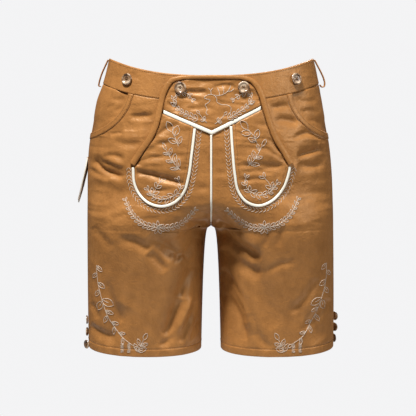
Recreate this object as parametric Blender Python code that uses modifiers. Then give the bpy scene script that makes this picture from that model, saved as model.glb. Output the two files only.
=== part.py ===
"""Embroidered drop-front folk shorts, filled out as if worn.

Frame: +Z up, the wearer faces -Y, the wearer's left is +X. The origin is the middle of the waist
opening, level with the middle of the waistband's whole height. Tables and sizes are in millimetres.
"""
import math

import bpy
import bmesh
import numpy as np
from mathutils import Vector

MM = 0.001
SIDES = {"right": -1, "left": 1}

# Cloth
SEAM = 0.3
LEG_WALL = 1.8
BAND_WALL = 2.4
FLAP_WALL = 1.6
POCKET_WALL = 1.5

BAND_LIFT = 0.6

# Cut of the garment
WAIST_FRONT_HEIGHT = 8.0
WAIST_BACK_HEIGHT = 10.0
WAIST_SIDE_HEIGHT = 39.2
WAIST_CURVE = 2.1
WAISTBAND_WIDTH = 44.5
CROTCH_HEIGHT = -259.0
HIP_MERGE = 76.0
HIP_MERGE_SHAPE = 2.7
LEG_GAP = 17.5
LEG_GAP_SHAPE = 0.25
HEM_SIDE_HEIGHT = -476.0
HEM_INNER_HEIGHT = -481.0
HEM_DROP = 4.5
HEM_DROP_CURVE = 6
INSEAM_LENGTH = CROTCH_HEIGHT - HEM_INNER_HEIGHT

# The body form: one row for each level section, from the waist down to below the hem.
SECTION_COLUMNS = ("height", "right", "left", "front", "back", "squareness")
SECTIONS = np.array((
    (40, 180, 181, 100, 100, 2.30),
    (0, 190, 190, 106, 106, 2.30),
    (-35, 203, 197, 110, 112, 2.30),
    (-75, 210.5, 204, 115, 120, 2.32),
    (-115, 217.5, 211, 119, 129, 2.35),
    (-165, 220.5, 216, 121, 136, 2.35),
    (-215, 221.2, 218.2, 119, 134, 2.32),
    (-265, 221.8, 219.5, 112, 126, 2.22),
    (-330, 222.3, 220.8, 101, 112, 2.15),
    (-410, 222.3, 221.8, 90, 98, 2.15),
    (-500, 221.6, 222, 81, 87, 2.15),
), float)

# The largest folds: soft ridges (depth above 0) and troughs (below 0) between two places on the cloth.
# Columns: x from, height from, x to, height to, half width, depth.
FRONT_FOLDS = np.array((
    (-208, -137, -150, -168, 9, -3.0),
    (-196, -131, -146, -147, 9, 2.4),
    (-205, -162, -140, -180, 10, 2.0),
    (-106, -266, -64, -305, 15, -5.5),
    (-64, -305, -12, -258, 15, -5.0),
    (-92, -250, -30, -248, 16, 3.6),
    (-18, -290, -84, -470, 18, -4.8),
    (-44, -330, -40, -465, 14, 4.0),
    (-150, -390, -185, -465, 16, -4.0),
    (14, -258, 78, -308, 16, -5.0),
    (66, -300, 112, -432, 18, -5.2),
    (20, -268, 88, -286, 15, 3.6),
    (16, -345, 54, -470, 15, -4.6),
    (150, -380, 192, -460, 16, -3.6),
    (148, -128, 190, -114, 9, -2.6),
    (146, -150, 200, -142, 9, -2.0),
    (108, -62, 150, -72, 11, -2.2),
    (-104, -70, -150, -82, 11, -2.2),
), float)
BACK_FOLDS = np.array((
    (-150, -128, -60, -150, 16, -3.0),
    (-30, -215, -110, -262, 16, -5.0),
    (-24, -248, -92, -300, 15, 4.0),
    (-30, -300, -96, -455, 18, -5.0),
    (-160, -330, -140, -460, 18, -3.8),
    (60, -140, 160, -122, 16, -3.6),
    (26, -222, 120, -268, 16, -5.2),
    (26, -254, 84, -306, 15, 4.0),
    (36, -310, 84, -462, 18, -4.8),
    (168, -320, 150, -455, 18, -3.8),
), float)
FOLD_END_SHAPE = 4
FOLD_SEAM_MARGIN = 3.0
FLAP_FOLDS = np.array((
    (-126, -153, -52, -172, 7, -1.5),
    (-118, -120, -60, -112, 9, -1.0),
    (56, -150, 124, -160, 8, -1.3),
    (50, -118, 96, -112, 9, -1.0),
    (-60, -30, -18, -22, 8, -0.8),
    (24, -20, 60, -34, 8, -0.8),
), float)

# Leg panels: numbers of rows of points, and how far some rows have gone down their edges.
POCKET_ROW = 10
POCKET_ROW_INNER = 75.0
FRONT_CROTCH_ROW = 21
FRONT_CROTCH_SIDE = 159.0
FRONT_HEM_ROW = 33
BACK_CROTCH_ROW = 12
BACK_CROTCH_SIDE = 258.0
BACK_HEM_ROW = 23
FRONT_COLUMNS = 18
BACK_COLUMNS = 13
BAND_COLUMNS = 13
TOP_ROWS = 3

# Hip pockets: the mouth is a quarter oval, in degrees round from the side seam and in drop.
POCKET_TURN = 47.0
POCKET_DROP = 87.0
POCKET_BAND_TURN = 4.0
POCKET_SEAM_TURN = 0.2
POCKET_BAND_DROP = 11.5
POCKET_BAND_LIFTS = (0.7, 1.1, 0.7)
POCKET_BAND_WALL = 2.2
POCKET_TUCK = 3.0
POCKET_DEPTH = 2.4
POCKET_NEAR = 8.0
POCKET_RIM = 0.9
POCKET_REACH = 32.0
POCKET_POINTS = 21

# Flap: where its free edge runs, from the top corner to the lobe's end, on each side.
EDGE_COLUMNS = ("height", "right", "left")
FLAP_EDGE = np.array((
    (6.6, 50, 52), (2.0, 69, 70), (-8, 78.5, 81), (-24, 86, 89.5), (-48, 91.5, 96.5), (-75, 98, 105),
    (-97, 108, 113.5), (-118, 123, 126.5), (-141, 138, 139.5),
), float)
BINDING_WIDTH = 9.5
BINDING_TOP_WIDTH = 7.0
BINDING_RISE = 4.4
BINDING_SHARES = (0, 0.25, 0.7, 1)
BINDING_ROUND = (0.45, 0.85, 0.8, 0.5)
BINDING_STEPS = 32
BINDING_TOP_POINTS = 9
FLAP_TOP_BEND = 1.2
FLAP_TOP_POINTS = 19
LOBE_POINTS = 12
LOBE_CORNER = 0.46
V_WIDTH = 6.5
V_UPRIGHT_WIDTH = 6.9
V_END_TRIM = 0.025
V_APEX = (1.0, -89.5)
V_END = {"right": (-88.0, -51.5), "left": (91.0, -44.5)}
U_WIDTH = 4.5
U_START_TRIM = 0.4
U_LINE = {
    "right": ((-27, -75), (-33, -125), (-38.5, -164), (-46, -189), (-60, -206), (-82, -214.5),
              (-107, -209), (-123, -194), (-131, -176), (-133, -149)),
    "left": ((33, -72), (36.5, -125), (40, -160), (46, -189), (59, -206), (80, -213.5),
             (105, -204.5), (121, -187), (130.5, -165), (134.5, -148)),
}
CENTER_WIDTH = 3.5
CENTER_END_HEIGHT = -246.0
FLAP_LIFT = 1.1
FLAP_SINK = 2.5
FLAP_SINK_MARGIN = 15.0
FLAP_CALM = 13.0
PIPING_LIFT = 0.7
PIPING_RISE = 2.2
PIPING_EDGE = 0.8
CENTER_RISE = 1.54

# Knife pocket: a tongue on the right side seam. Columns: height, stand-off, half width.
TONGUE = np.array((
    (-136, 1.8, 17), (-148, 3.0, 20), (-163, 5.6, 20.5), (-178, 9.0, 18.5), (-192, 12.3, 14.5),
    (-204, 15.4, 8.5), (-214, 17.6, 1.5),
), float)
TONGUE_WALL = 2.0
TONGUE_CURL = 1.5
TONGUE_PIPING = 2.4
TONGUE_TIP_OUT = 0.8

# Belt loops: the path of the strip's middle, as stand-off from the waistband and height.
BELT_LOOPS = {
    "right": ((2.2, 37), (4.8, 27), (7.6, 15), (8.6, 4), (8.2, -4), (6.4, -9.5), (2.4, -10.5)),
    "left": ((2.2, 37), (5.4, 27), (9.0, 15), (11.6, 3), (11.6, -5), (8.6, -11), (4.8, -11), (2.4, -7)),
}
LOOP_WIDTH = 13.0
LOOP_WALL = 2.0
LOOP_POINTS = 15

# Buttons. The profile's columns: share of the radius, share of the thickness.
BUTTON_PROFILE = ((0, 0.70), (0.58, 0.70), (0.76, 1.0), (0.94, 0.88), (1.0, 0.55), (0.62, 0), (0, 0))
BUTTON_STEPS = 14
BIG_BUTTON = {"radius": 10.3, "thickness": 4.0}
SMALL_BUTTON = {"radius": 8.0, "thickness": 3.4}
BUTTON_GAP = 0.5
# Columns: x, height, stand-off.
FRONT_BUTTONS = {
    "button_waist_right": (-143.8, 1.2, 0.6), "button_waist_left": (145.2, 1.8, 0.6),
    "button_flap_right": (-52.0, -14.0, 2.9), "button_flap_left": (54.5, -13.2, 2.9),
}
# Columns: side, height, y, degrees turned to the front, stand-off.
HEM_BUTTONS = (
    ("right", -431, -1, 6, 0.2), ("right", -453, -1, -4, 0.3), ("right", -473, -15, 38, 2.3),
    ("left", -427, 11, -40, 3.0), ("left", -447, 11, -38, 2.5), ("left", -467, 11, -20, 0.6),
)

FINISHES = {
    "cloth": ((0.42, 0.20, 0.06, 1), 0.62),
    "cream": ((0.88, 0.82, 0.66, 1), 0.7),
    "horn": ((0.25, 0.15, 0.08, 1), 0.35),
}


def smooth_read(knots, values, at):
    """Read a table's column between its rows, along a smooth curve (cubic Hermite)."""
    slopes = np.gradient(values, knots)
    cell = np.clip(np.searchsorted(knots, at) - 1, 0, len(knots) - 2)
    width = knots[cell + 1] - knots[cell]
    t = np.clip((at - knots[cell]) / width, 0, 1)
    rest = 1 - t
    return (values[cell] * (1 + 2 * t) * rest ** 2 + values[cell + 1] * t ** 2 * (3 - 2 * t)
            + width * (slopes[cell] * t * rest ** 2 - slopes[cell + 1] * t ** 2 * rest))


def section(name, height):
    """Read one column of SECTIONS at any height."""
    rows = SECTIONS[::-1]
    return smooth_read(rows[:, 0], rows[:, SECTION_COLUMNS.index(name)], np.asarray(height, float))


def leg_gap(height):
    """Half the gap between the legs, blunt at the crotch and wider towards the hems."""
    below = np.clip(CROTCH_HEIGHT - height, 0, None) / INSEAM_LENGTH
    return LEG_GAP * below ** LEG_GAP_SHAPE


def ring(sign, height):
    """The half section's centre and half width: a half waist above, a whole leg below the crotch."""
    width = np.where(np.asarray(sign) > 0, section("left", height), section("right", height))
    share = (1 - np.clip((height - CROTCH_HEIGHT) / HIP_MERGE, 0, 1) ** 2) ** HIP_MERGE_SHAPE
    radius = np.where(height >= CROTCH_HEIGHT, width / (1 + share), (width - leg_gap(height)) / 2)
    return width - radius, radius


def form_value(x, y, height):
    """The section's oval equation: 0 on the form, above 0 outside it."""
    centre, radius = ring(np.sign(x), height)
    depth = np.where(y < 0, section("front", height), section("back", height))
    power = section("squareness", height)
    return np.abs((np.abs(x) - centre) / radius) ** power + np.abs(y / depth) ** power - 1


def outward(points):
    """Unit normals of the form at points on it; seams on the middle line stay in their plane."""
    x, y, z = np.moveaxis(points, -1, 0)
    step = 0.05
    slopes = [
        form_value(x + step, y, z) - form_value(x - step, y, z),
        form_value(x, y + step, z) - form_value(x, y - step, z),
        form_value(x, y, z + step) - form_value(x, y, z - step),
    ]
    on_middle = np.abs(x) < SEAM
    slopes[0] = np.where(on_middle, 0, slopes[0])
    normal = np.stack(slopes, -1)
    return normal / np.linalg.norm(normal, axis=-1, keepdims=True)


def front_points(x, height):
    """Points on the form's front that lie at the given width and height."""
    x = np.where(np.abs(x) < SEAM / 2, SEAM / 2, x)
    centre, radius = ring(np.sign(x), height)
    power = section("squareness", height)
    across = np.clip(np.abs((np.abs(x) - centre) / radius), 0, 1)
    y = -section("front", height) * (1 - across ** power) ** (1 / power)
    return np.stack([x, y, height], -1)


def round_points(sign, face, turn, height):
    """Points round the form: turn is 0 at the side seam and 1 at the middle line or inseam."""
    centre, radius = ring(sign, height)
    power = section("squareness", height)
    middle = np.where(height > CROTCH_HEIGHT, np.clip((centre - SEAM / 2) / radius, 0, 1), 1)
    last = np.pi - np.arccos(middle ** (power / 2))
    angle = turn * last
    across = np.sign(np.cos(angle)) * np.abs(np.cos(angle)) ** (2 / power)
    depth = section(face, height) * np.abs(np.sin(angle)) ** (2 / power)
    x = np.maximum(centre + radius * across, SEAM / 2)
    y = np.maximum(depth, SEAM / 2) * (-1 if face == "front" else 1)
    return np.stack([sign * x, y, height + 0 * x], -1)


def waist_height(face, degrees):
    """Height of the waist edge, by the angle round from the side seam."""
    middle = WAIST_FRONT_HEIGHT if face == "front" else WAIST_BACK_HEIGHT
    return middle + (WAIST_SIDE_HEIGHT - middle) * np.abs(np.cos(np.radians(degrees))) ** WAIST_CURVE


def seam_height(face, degrees):
    """Height of the waistband's lower seam."""
    return waist_height(face, degrees) - WAISTBAND_WIDTH


def folds(table, x, height):
    """Sum of the table's soft ridges and troughs at the given places."""
    total = np.zeros(np.broadcast(x, height).shape)
    for x_from, z_from, x_to, z_to, half_width, depth in table:
        run = np.array([x_to - x_from, z_to - z_from])
        along = np.clip(((x - x_from) * run[0] + (height - z_from) * run[1]) / (run @ run), 0, 1)
        away = np.hypot(x - x_from - along * run[0], height - z_from - along * run[1])
        ends = 1 - (2 * along - 1) ** FOLD_END_SHAPE
        total += depth * ends * np.exp(-(away / half_width) ** 2)
    return total


def smooth_line(points, count):
    """A smooth curve through a few points, divided into equal steps."""
    points = np.asarray(points, float)
    steps = np.linalg.norm(np.diff(points, axis=0), axis=1)
    knots = np.concatenate([[0], np.cumsum(steps)])
    fine = np.linspace(0, knots[-1], 12 * len(points))
    line = np.stack([smooth_read(knots, column, fine) for column in points.T], -1)
    return even_steps(line, count)


def even_steps(line, count):
    """The same line with a given number of evenly spaced points."""
    run = np.concatenate([[0], np.cumsum(np.linalg.norm(np.diff(line, axis=0), axis=1))])
    at = np.linspace(0, run[-1], count)
    return np.stack([np.interp(at, run, column) for column in line.T], -1)


def beside(line, distance):
    """The line moved sideways, to the left of its direction for a distance above 0."""
    along = np.gradient(line, axis=0)
    along /= np.linalg.norm(along, axis=1, keepdims=True)
    across = np.stack([-along[:, 1], along[:, 0]], -1)
    return line + across * np.reshape(distance, (-1, 1))


def crossing(first, second):
    """Where two lines cross: the index on each, whole part and fraction."""
    for i in range(len(first) - 1):
        start, run = first[i], first[i + 1] - first[i]
        other, other_run = second[:-1], np.diff(second, axis=0)
        area = run[0] * other_run[:, 1] - run[1] * other_run[:, 0]
        gap = other - start
        t = (gap[:, 0] * other_run[:, 1] - gap[:, 1] * other_run[:, 0]) / area
        u = (gap[:, 0] * run[1] - gap[:, 1] * run[0]) / area
        hit = np.flatnonzero((t >= 0) & (t <= 1) & (u >= 0) & (u <= 1))
        if len(hit):
            return i + t[hit[0]], hit[0] + u[hit[0]]
    raise ValueError("the lines do not cross")


def between(line, start, end, count):
    """The part of a line between two indices, in even steps."""
    at = np.linspace(start, end, 8 * count)
    index = np.arange(len(line))
    return even_steps(np.stack([np.interp(at, index, column) for column in line.T], -1), count)


def patch(top, bottom, first, last):
    """Fill four edge lines that share their corners with a smooth grid of points (a Coons patch)."""
    u = np.linspace(0, 1, len(top))[None, :, None]
    v = np.linspace(0, 1, len(first))[:, None, None]
    across = (1 - v) * top[None] + v * bottom[None]
    down = (1 - u) * first[:, None] + u * last[:, None]
    corners = ((1 - u) * (1 - v) * top[0] + u * (1 - v) * top[-1]
               + (1 - u) * v * bottom[0] + u * v * bottom[-1])
    return across + down - corners


def flap_side_lines(side):
    """The flap's free edge on one side, and the binding's inner edge, from top to bottom."""
    sign = SIDES[side]
    column = FLAP_EDGE[:, EDGE_COLUMNS.index(side)]
    outer = smooth_line(np.stack([sign * column, FLAP_EDGE[:, 0]], -1), 60)
    share = np.clip(np.linspace(0, 5, len(outer)), 0, 1)
    width = BINDING_TOP_WIDTH + (BINDING_WIDTH - BINDING_TOP_WIDTH) * share
    return outer, beside(outer, width * sign * -1)


def v_line(side, offset):
    """The V seam from the apex outwards, moved up by an offset."""
    apex, end = np.array(V_APEX), np.array(V_END[side])
    lift = offset / math.cos(math.atan2(end[1] - apex[1], abs(end[0] - apex[0])))
    return np.array([apex, end]) + (0, lift)


def u_line(side, offset):
    """The U seam from the V outwards and up again, moved into the lobe by an offset."""
    return beside(smooth_line(U_LINE[side], 80), offset * SIDES[side])


def flap_outline(side):
    """The outline of the flap's half, closed along the middle line."""
    outer, _ = flap_side_lines(side)
    seam = u_line(side, 0)[::-1]
    top = np.array([[0, WAIST_FRONT_HEIGHT]])
    return np.concatenate([top, outer, seam, np.array([V_APEX])])


def distance_to(line, x, height):
    """Distance of places on the front from a line."""
    start, run = line[:-1], np.diff(line, axis=0)
    place = np.stack([x, height], -1)[..., None, :] - start
    share = np.clip((place * run).sum(-1) / np.maximum((run * run).sum(-1), 1e-9), 0, 1)
    return np.linalg.norm(place - share[..., None] * run, axis=-1).min(-1)


def inside(outline, x, height):
    """Whether places lie inside a closed outline, by counting crossings."""
    start, end = outline, np.roll(outline, -1, axis=0)
    z = height[..., None]
    spans = (start[:, 1] > z) != (end[:, 1] > z)
    slope = (end[:, 0] - start[:, 0]) / np.where(end[:, 1] == start[:, 1], 1, end[:, 1] - start[:, 1])
    reach = start[:, 0] + (z - start[:, 1]) * slope
    return (spans & (x[..., None] < reach)).sum(-1) % 2 == 1


def flap_depth(x, height):
    """How far inside the flap a place lies, and how far it is from the flap's edge."""
    depth = np.zeros(x.shape)
    away = np.full(x.shape, 1000.0)
    for side, sign in SIDES.items():
        outline = flap_outline(side)
        edge = distance_to(outline[1:], x, height)
        within = inside(outline, x, height) & (np.sign(x) == sign)
        depth = np.where(within, edge, depth)
        away = np.minimum(away, edge)
    return depth, away


def ease(share):
    """A soft step from 0 to 1."""
    share = np.clip(share, 0, 1)
    return share * share * (3 - 2 * share)


def cloth_level(points, face):
    """How far the cloth stands off the form: its folds, and the dip behind the flap."""
    x, _, z = np.moveaxis(points, -1, 0)
    centre, radius = ring(np.sign(x), z)
    from_side = np.clip(centre + radius - np.abs(x), 0, None)
    from_inseam = np.clip(np.abs(x) - (centre - radius), 0, None)
    calm = 1 - np.exp(-(from_side / FOLD_SEAM_MARGIN) ** 2)
    calm *= np.where(z < CROTCH_HEIGHT, 1 - np.exp(-(from_inseam / FOLD_SEAM_MARGIN) ** 2), 1)
    if face == "back":
        return calm * folds(BACK_FOLDS, x, z)
    depth, away = flap_depth(x, z)
    behind = ease(depth / FLAP_SINK_MARGIN)
    calm *= (1 - np.exp(-(away / FLAP_CALM) ** 2)) * (depth == 0)
    return calm * folds(FRONT_FOLDS, x, z) - FLAP_SINK * behind


def flap_level(points):
    """The flap's outer face: lifted off the cloth behind it, with its own small folds."""
    x, _, z = np.moveaxis(points, -1, 0)
    _, away = flap_depth(x, z)
    calm = 1 - np.exp(-(away / FLAP_CALM) ** 2)
    return FLAP_LIFT + FLAP_WALL + calm * folds(FLAP_FOLDS, x, z)


def finish(name, kind):
    """A material of its own for one sub-part."""
    color, roughness = FINISHES[kind]
    material = bpy.data.materials.new(name)
    material.use_nodes = True
    shader = material.node_tree.nodes["Principled BSDF"]
    shader.inputs["Base Color"].default_value = color
    shader.inputs["Roughness"].default_value = roughness
    return material


def add_object(name, mesh, kind, collection, parent):
    """Link a mesh to the model as one named sub-part."""
    part = bpy.data.objects.new(name, mesh)
    collection.objects.link(part)
    part.parent = parent
    if not mesh.materials:
        mesh.materials.append(finish(name, kind))
    mesh.shade_smooth()
    return part


def wall(name, outer, inner, kind, collection, parent):
    """A closed cloth wall between two grids of points, each cell cut along its shorter diagonal."""
    rows, columns = outer.shape[:2]
    points = np.concatenate([outer.reshape(-1, 3), inner.reshape(-1, 3)]) * MM
    index = np.arange(rows * columns).reshape(rows, columns)
    corners = (index[:-1, :-1], index[:-1, 1:], index[1:, 1:], index[1:, :-1])
    a, b, c, d = [corner.ravel() for corner in corners]
    first = np.linalg.norm(points[a] - points[c], axis=1)
    second = np.linalg.norm(points[b] - points[d], axis=1)
    pairs = np.where((first <= second)[:, None], np.stack([a, b, c, a, c, d], -1),
                     np.stack([a, b, d, b, c, d], -1))
    face = pairs.reshape(-1, 3)
    rim = np.concatenate([index[0, :], index[1:, -1], index[-1, -2::-1], index[-2:0:-1, 0]])
    after = np.roll(rim, -1)
    under = rows * columns
    sides = np.stack([after, rim, rim + under, after, rim + under, after + under], -1).reshape(-1, 3)
    faces = np.concatenate([face, face[:, ::-1] + under, sides])
    mesh = bpy.data.meshes.new(name)
    mesh.from_pydata(points.tolist(), [], faces.tolist())
    cage = bmesh.new()
    cage.from_mesh(mesh)
    bmesh.ops.recalc_face_normals(cage, faces=cage.faces)
    cage.to_mesh(mesh)
    cage.free()
    return add_object(name, mesh, kind, collection, parent)


def form_wall(name, points, level, thickness, kind, collection, parent):
    """A cloth wall whose outer face stands off the form by a level."""
    normal = outward(points)
    level = np.broadcast_to(level, points.shape[:2])[..., None]
    depth = np.broadcast_to(thickness, points.shape[:2])[..., None]
    outer = points + normal * level
    inner = points + normal * (level - depth)
    return wall(name, outer, inner, kind, collection, parent)


def inner_heights(sign, face, rows, lengths, hem_row):
    """Heights of a leg panel's rows on the middle seam and the inseam.

    The last of the given rows is at the crotch; lengths tells how far along the middle seam the
    rows before it are.
    """
    top = float(seam_height(face, 90)) - SEAM / 2
    height = CROTCH_HEIGHT + (top - CROTCH_HEIGHT) * np.linspace(1, 0, 400) ** 3
    points = round_points(sign, face, np.ones(len(height)), height)
    run = np.concatenate([[0], np.cumsum(np.linalg.norm(np.diff(points, axis=0), axis=1))])
    number = np.arange(hem_row + 1)
    length = np.interp(number, rows, [*lengths, run[-1]])
    upper = np.interp(length, run, height)
    lower_share = np.clip((number - rows[-1]) / (hem_row - rows[-1]), 0, 1)
    return np.where(number <= rows[-1], upper, CROTCH_HEIGHT - INSEAM_LENGTH * lower_share)


def panel_grid(sign, face, outer_turn, outer_height, inner_height, columns):
    """A leg panel's points: rows run from its outer edge to the middle seam or inseam."""
    across = np.linspace(0, 1, columns + 1)[None, :]
    turn = outer_turn[:, None] * (1 - across) + across
    height = outer_height[:, None] * (1 - across) + inner_height[:, None] * across
    drop = np.linspace(0, 1, len(outer_height))[:, None] ** HEM_DROP_CURVE
    height = height - HEM_DROP * drop * np.sin(np.pi * across)
    top = 1 - np.clip(np.arange(len(outer_height))[:, None] / TOP_ROWS, 0, 1)
    seam = seam_height(face, turn * 90) - SEAM / 2
    height = height * (1 - top) + (seam + (height - height[0:1])) * top
    return round_points(sign, face, turn, height)


def pocket_edge(turn, drop, count):
    """A quarter oval below the waistband seam: share of the way round, and height."""
    angle = np.linspace(0, np.pi / 2, count)
    degrees = turn * np.cos(angle)
    height = seam_height("front", degrees) - SEAM / 2 - drop * np.sin(angle)
    return degrees / 90, height


def leg_front(side, collection, parent):
    """One leg front: below the pocket band, down the side seam to the hem."""
    sign = SIDES[side]
    turn, height = pocket_edge(POCKET_TURN + POCKET_BAND_TURN + POCKET_SEAM_TURN,
                               POCKET_DROP + POCKET_BAND_DROP + SEAM, POCKET_ROW + 1)
    number = np.arange(POCKET_ROW + 1, FRONT_HEM_ROW + 1)
    side_height = np.interp(number, (POCKET_ROW, FRONT_CROTCH_ROW, FRONT_HEM_ROW),
                            (height[-1], height[-1] - FRONT_CROTCH_SIDE, HEM_SIDE_HEIGHT))
    outer_height = np.concatenate([height, side_height])
    outer_turn = np.concatenate([turn, np.zeros(len(number))])
    rows = (0, POCKET_ROW, FRONT_CROTCH_ROW)
    inner = inner_heights(sign, "front", rows, (0, POCKET_ROW_INNER), FRONT_HEM_ROW)
    points = panel_grid(sign, "front", outer_turn, outer_height, inner, FRONT_COLUMNS)
    form_wall(f"front_{side}", points, cloth_level(points, "front"), LEG_WALL, "cloth", collection, parent)


def leg_back(side, collection, parent):
    """One leg back, from the waistband to the hem."""
    sign = SIDES[side]
    top = float(seam_height("back", 0)) - SEAM / 2
    number = np.arange(BACK_HEM_ROW + 1)
    outer_height = np.interp(number, (0, BACK_CROTCH_ROW, BACK_HEM_ROW),
                             (top, top - BACK_CROTCH_SIDE, HEM_SIDE_HEIGHT))
    inner = inner_heights(sign, "back", (0, BACK_CROTCH_ROW), (0,), BACK_HEM_ROW)
    points = panel_grid(sign, "back", 0.0 * number, outer_height, inner, BACK_COLUMNS)
    form_wall(f"back_{side}", points, cloth_level(points, "back"), LEG_WALL, "cloth", collection, parent)


def waistband_grid(sign, face, columns):
    """Points of one waistband piece: three rows between its seam and the waist edge."""
    turn = np.linspace(0, 1, columns + 1)[None, :]
    up = np.linspace(0, 1, 3)[:, None]
    low = seam_height(face, turn * 90) + SEAM / 2
    high = waist_height(face, turn * 90)
    return round_points(sign, face, turn + 0 * up, low + (high - low) * up)


def waistband(collection, parent):
    """Two waistband fronts that meet behind the flap, and one back."""
    for side, sign in SIDES.items():
        points = waistband_grid(sign, "front", BAND_COLUMNS)
        level = cloth_level(points, "front") + BAND_LIFT
        form_wall(f"waistband_front_{side}", points, level, BAND_WALL, "cloth", collection, parent)
    right = waistband_grid(SIDES["right"], "back", BAND_COLUMNS)[:, :-1]
    left = waistband_grid(SIDES["left"], "back", BAND_COLUMNS)[:, -2::-1]
    points = np.concatenate([right, left], axis=1)
    form_wall("waistband_back", points, BAND_LIFT, BAND_WALL, "cloth", collection, parent)


def pockets(collection, parent):
    """Each hip pocket: the band along its mouth, and the panel that shows behind it."""
    for side, sign in SIDES.items():
        edges = []
        for share in (0, 0.5, 1):
            turn, height = pocket_edge(POCKET_TURN + POCKET_BAND_TURN * share,
                                       POCKET_DROP + POCKET_BAND_DROP * share, POCKET_ROW + 1)
            edges.append(round_points(sign, "front", turn, height))
        form_wall(f"pocket_band_{side}", np.stack(edges, 1), POCKET_BAND_LIFTS, POCKET_BAND_WALL,
                  "cloth", collection, parent)

        turn, height = pocket_edge(POCKET_TURN + POCKET_TUCK, POCKET_DROP + 3 * POCKET_TUCK,
                                   POCKET_POINTS)
        middle = POCKET_POINTS // 2
        edge = np.stack([turn * 90, height], -1)
        top_degrees = np.linspace(0, edge[0, 0], middle + 1)
        top = np.stack([top_degrees, seam_height("front", top_degrees) - SEAM / 2], -1)
        first = np.stack([np.zeros(middle + 1), np.linspace(top[0, 1], edge[-1, 1], middle + 1)], -1)
        grid = patch(top, edge[:middle - 1:-1], first, edge[:middle + 1])
        points = round_points(sign, "front", grid[..., 0] / 90, grid[..., 1])
        turn, height = pocket_edge(POCKET_TURN, POCKET_DROP, 40)
        mouth = round_points(sign, "front", turn, height)
        away = np.linalg.norm(points[..., None, :] - mouth, axis=-1).min(-1)
        oval = np.hypot(grid[..., 0] / POCKET_TURN,
                        (seam_height("front", grid[..., 0]) - grid[..., 1]) / POCKET_DROP)
        near = ease((POCKET_REACH - away) / (POCKET_REACH - POCKET_NEAR))
        level = -POCKET_DEPTH * np.where(oval > POCKET_RIM, 1, near)
        form_wall(f"pocket_panel_{side}", points, level, POCKET_WALL, "cloth", collection, parent)


def strip(name, line, width, lift, rise, kind, collection, parent):
    """A raised strip that lies along a line on the front."""
    edges = [front_points(*beside(line, offset).T) for offset in (-width / 2, 0, width / 2)]
    points = np.stack(edges, 1)
    rises = rise * np.array((PIPING_EDGE, 1, PIPING_EDGE))
    form_wall(name, points, lift + rises, rises, kind, collection, parent)


def flap_pieces(collection, parent):
    """The yoke above the V seam and the two lobes below it."""
    trim = V_WIDTH / 2 + SEAM
    inner = {}
    for side, sign in SIDES.items():
        _, line = flap_side_lines(side)
        inner[side] = beside(line, -2 * SEAM * sign)

    sides = {}
    for side in SIDES:
        seam = v_line(side, trim)
        at, seam_at = crossing(inner[side], seam)
        half = between(seam, seam_at, 0, FLAP_TOP_POINTS // 2 + 1)
        sides[side] = (between(inner[side], 0, at, LOBE_POINTS), half)
    top_line = np.stack([inner["right"][0], inner["left"][0]])
    bend = np.linspace(-1, 1, FLAP_TOP_POINTS)
    rise = np.stack([0 * bend, FLAP_TOP_BEND * (1 - bend ** 2)], -1)
    top = even_steps(top_line, FLAP_TOP_POINTS) + rise
    bottom = np.concatenate([sides["right"][1], sides["left"][1][-2::-1]])
    grid = patch(top, bottom, sides["right"][0], sides["left"][0])
    points = front_points(grid[..., 0], grid[..., 1])
    form_wall("flap_yoke", points, flap_level(points), FLAP_WALL, "cloth", collection, parent)

    for side, sign in SIDES.items():
        seam = v_line(side, -trim)
        round_line = u_line(side, U_WIDTH / 2 + SEAM)
        edge_at, seam_out = crossing(inner[side], seam)
        seam_in, round_at = crossing(seam, round_line)
        corner = LOBE_CORNER * len(round_line)
        last = between(round_line, round_at, corner, LOBE_POINTS)
        bottom = between(round_line, len(round_line) - 1, corner, LOBE_POINTS)
        first = between(inner[side], edge_at, len(inner[side]) - 1, LOBE_POINTS)
        bottom[0] = first[-1]
        top = between(seam, seam_out, seam_in, LOBE_POINTS)
        grid = patch(top, bottom, first, last)
        points = front_points(grid[..., 0], grid[..., 1])
        form_wall(f"flap_lobe_{side}", points, flap_level(points), FLAP_WALL, "cloth", collection, parent)


def binding(collection, parent):
    """The padded bias binding: up one free edge, across the top and down the other."""
    lines = []
    for side, sign in SIDES.items():
        outer, inner = flap_side_lines(side)
        outer = even_steps(outer, BINDING_STEPS)
        inner = even_steps(inner, BINDING_STEPS)
        lines.append((outer, inner))
    bend = np.linspace(-1, 1, BINDING_TOP_POINTS)[1:-1, None]
    rise = np.concatenate([0 * bend, FLAP_TOP_BEND * (1 - bend ** 2)], -1)
    rows = []
    for which in (0, 1):
        start, end = lines[0][which][0], lines[1][which][0]
        top = start + (end - start) * (bend + 1) / 2 + rise
        rows.append(np.concatenate([lines[0][which][::-1], top, lines[1][which]]))
    shares = np.array(BINDING_SHARES)[None, :, None]
    grid = rows[0][:, None] * (1 - shares) + rows[1][:, None] * shares
    points = front_points(grid[..., 0], grid[..., 1])
    rise = BINDING_RISE * np.array(BINDING_ROUND)
    form_wall("flap_binding", points, FLAP_LIFT + rise, rise, "cloth", collection, parent)


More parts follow.
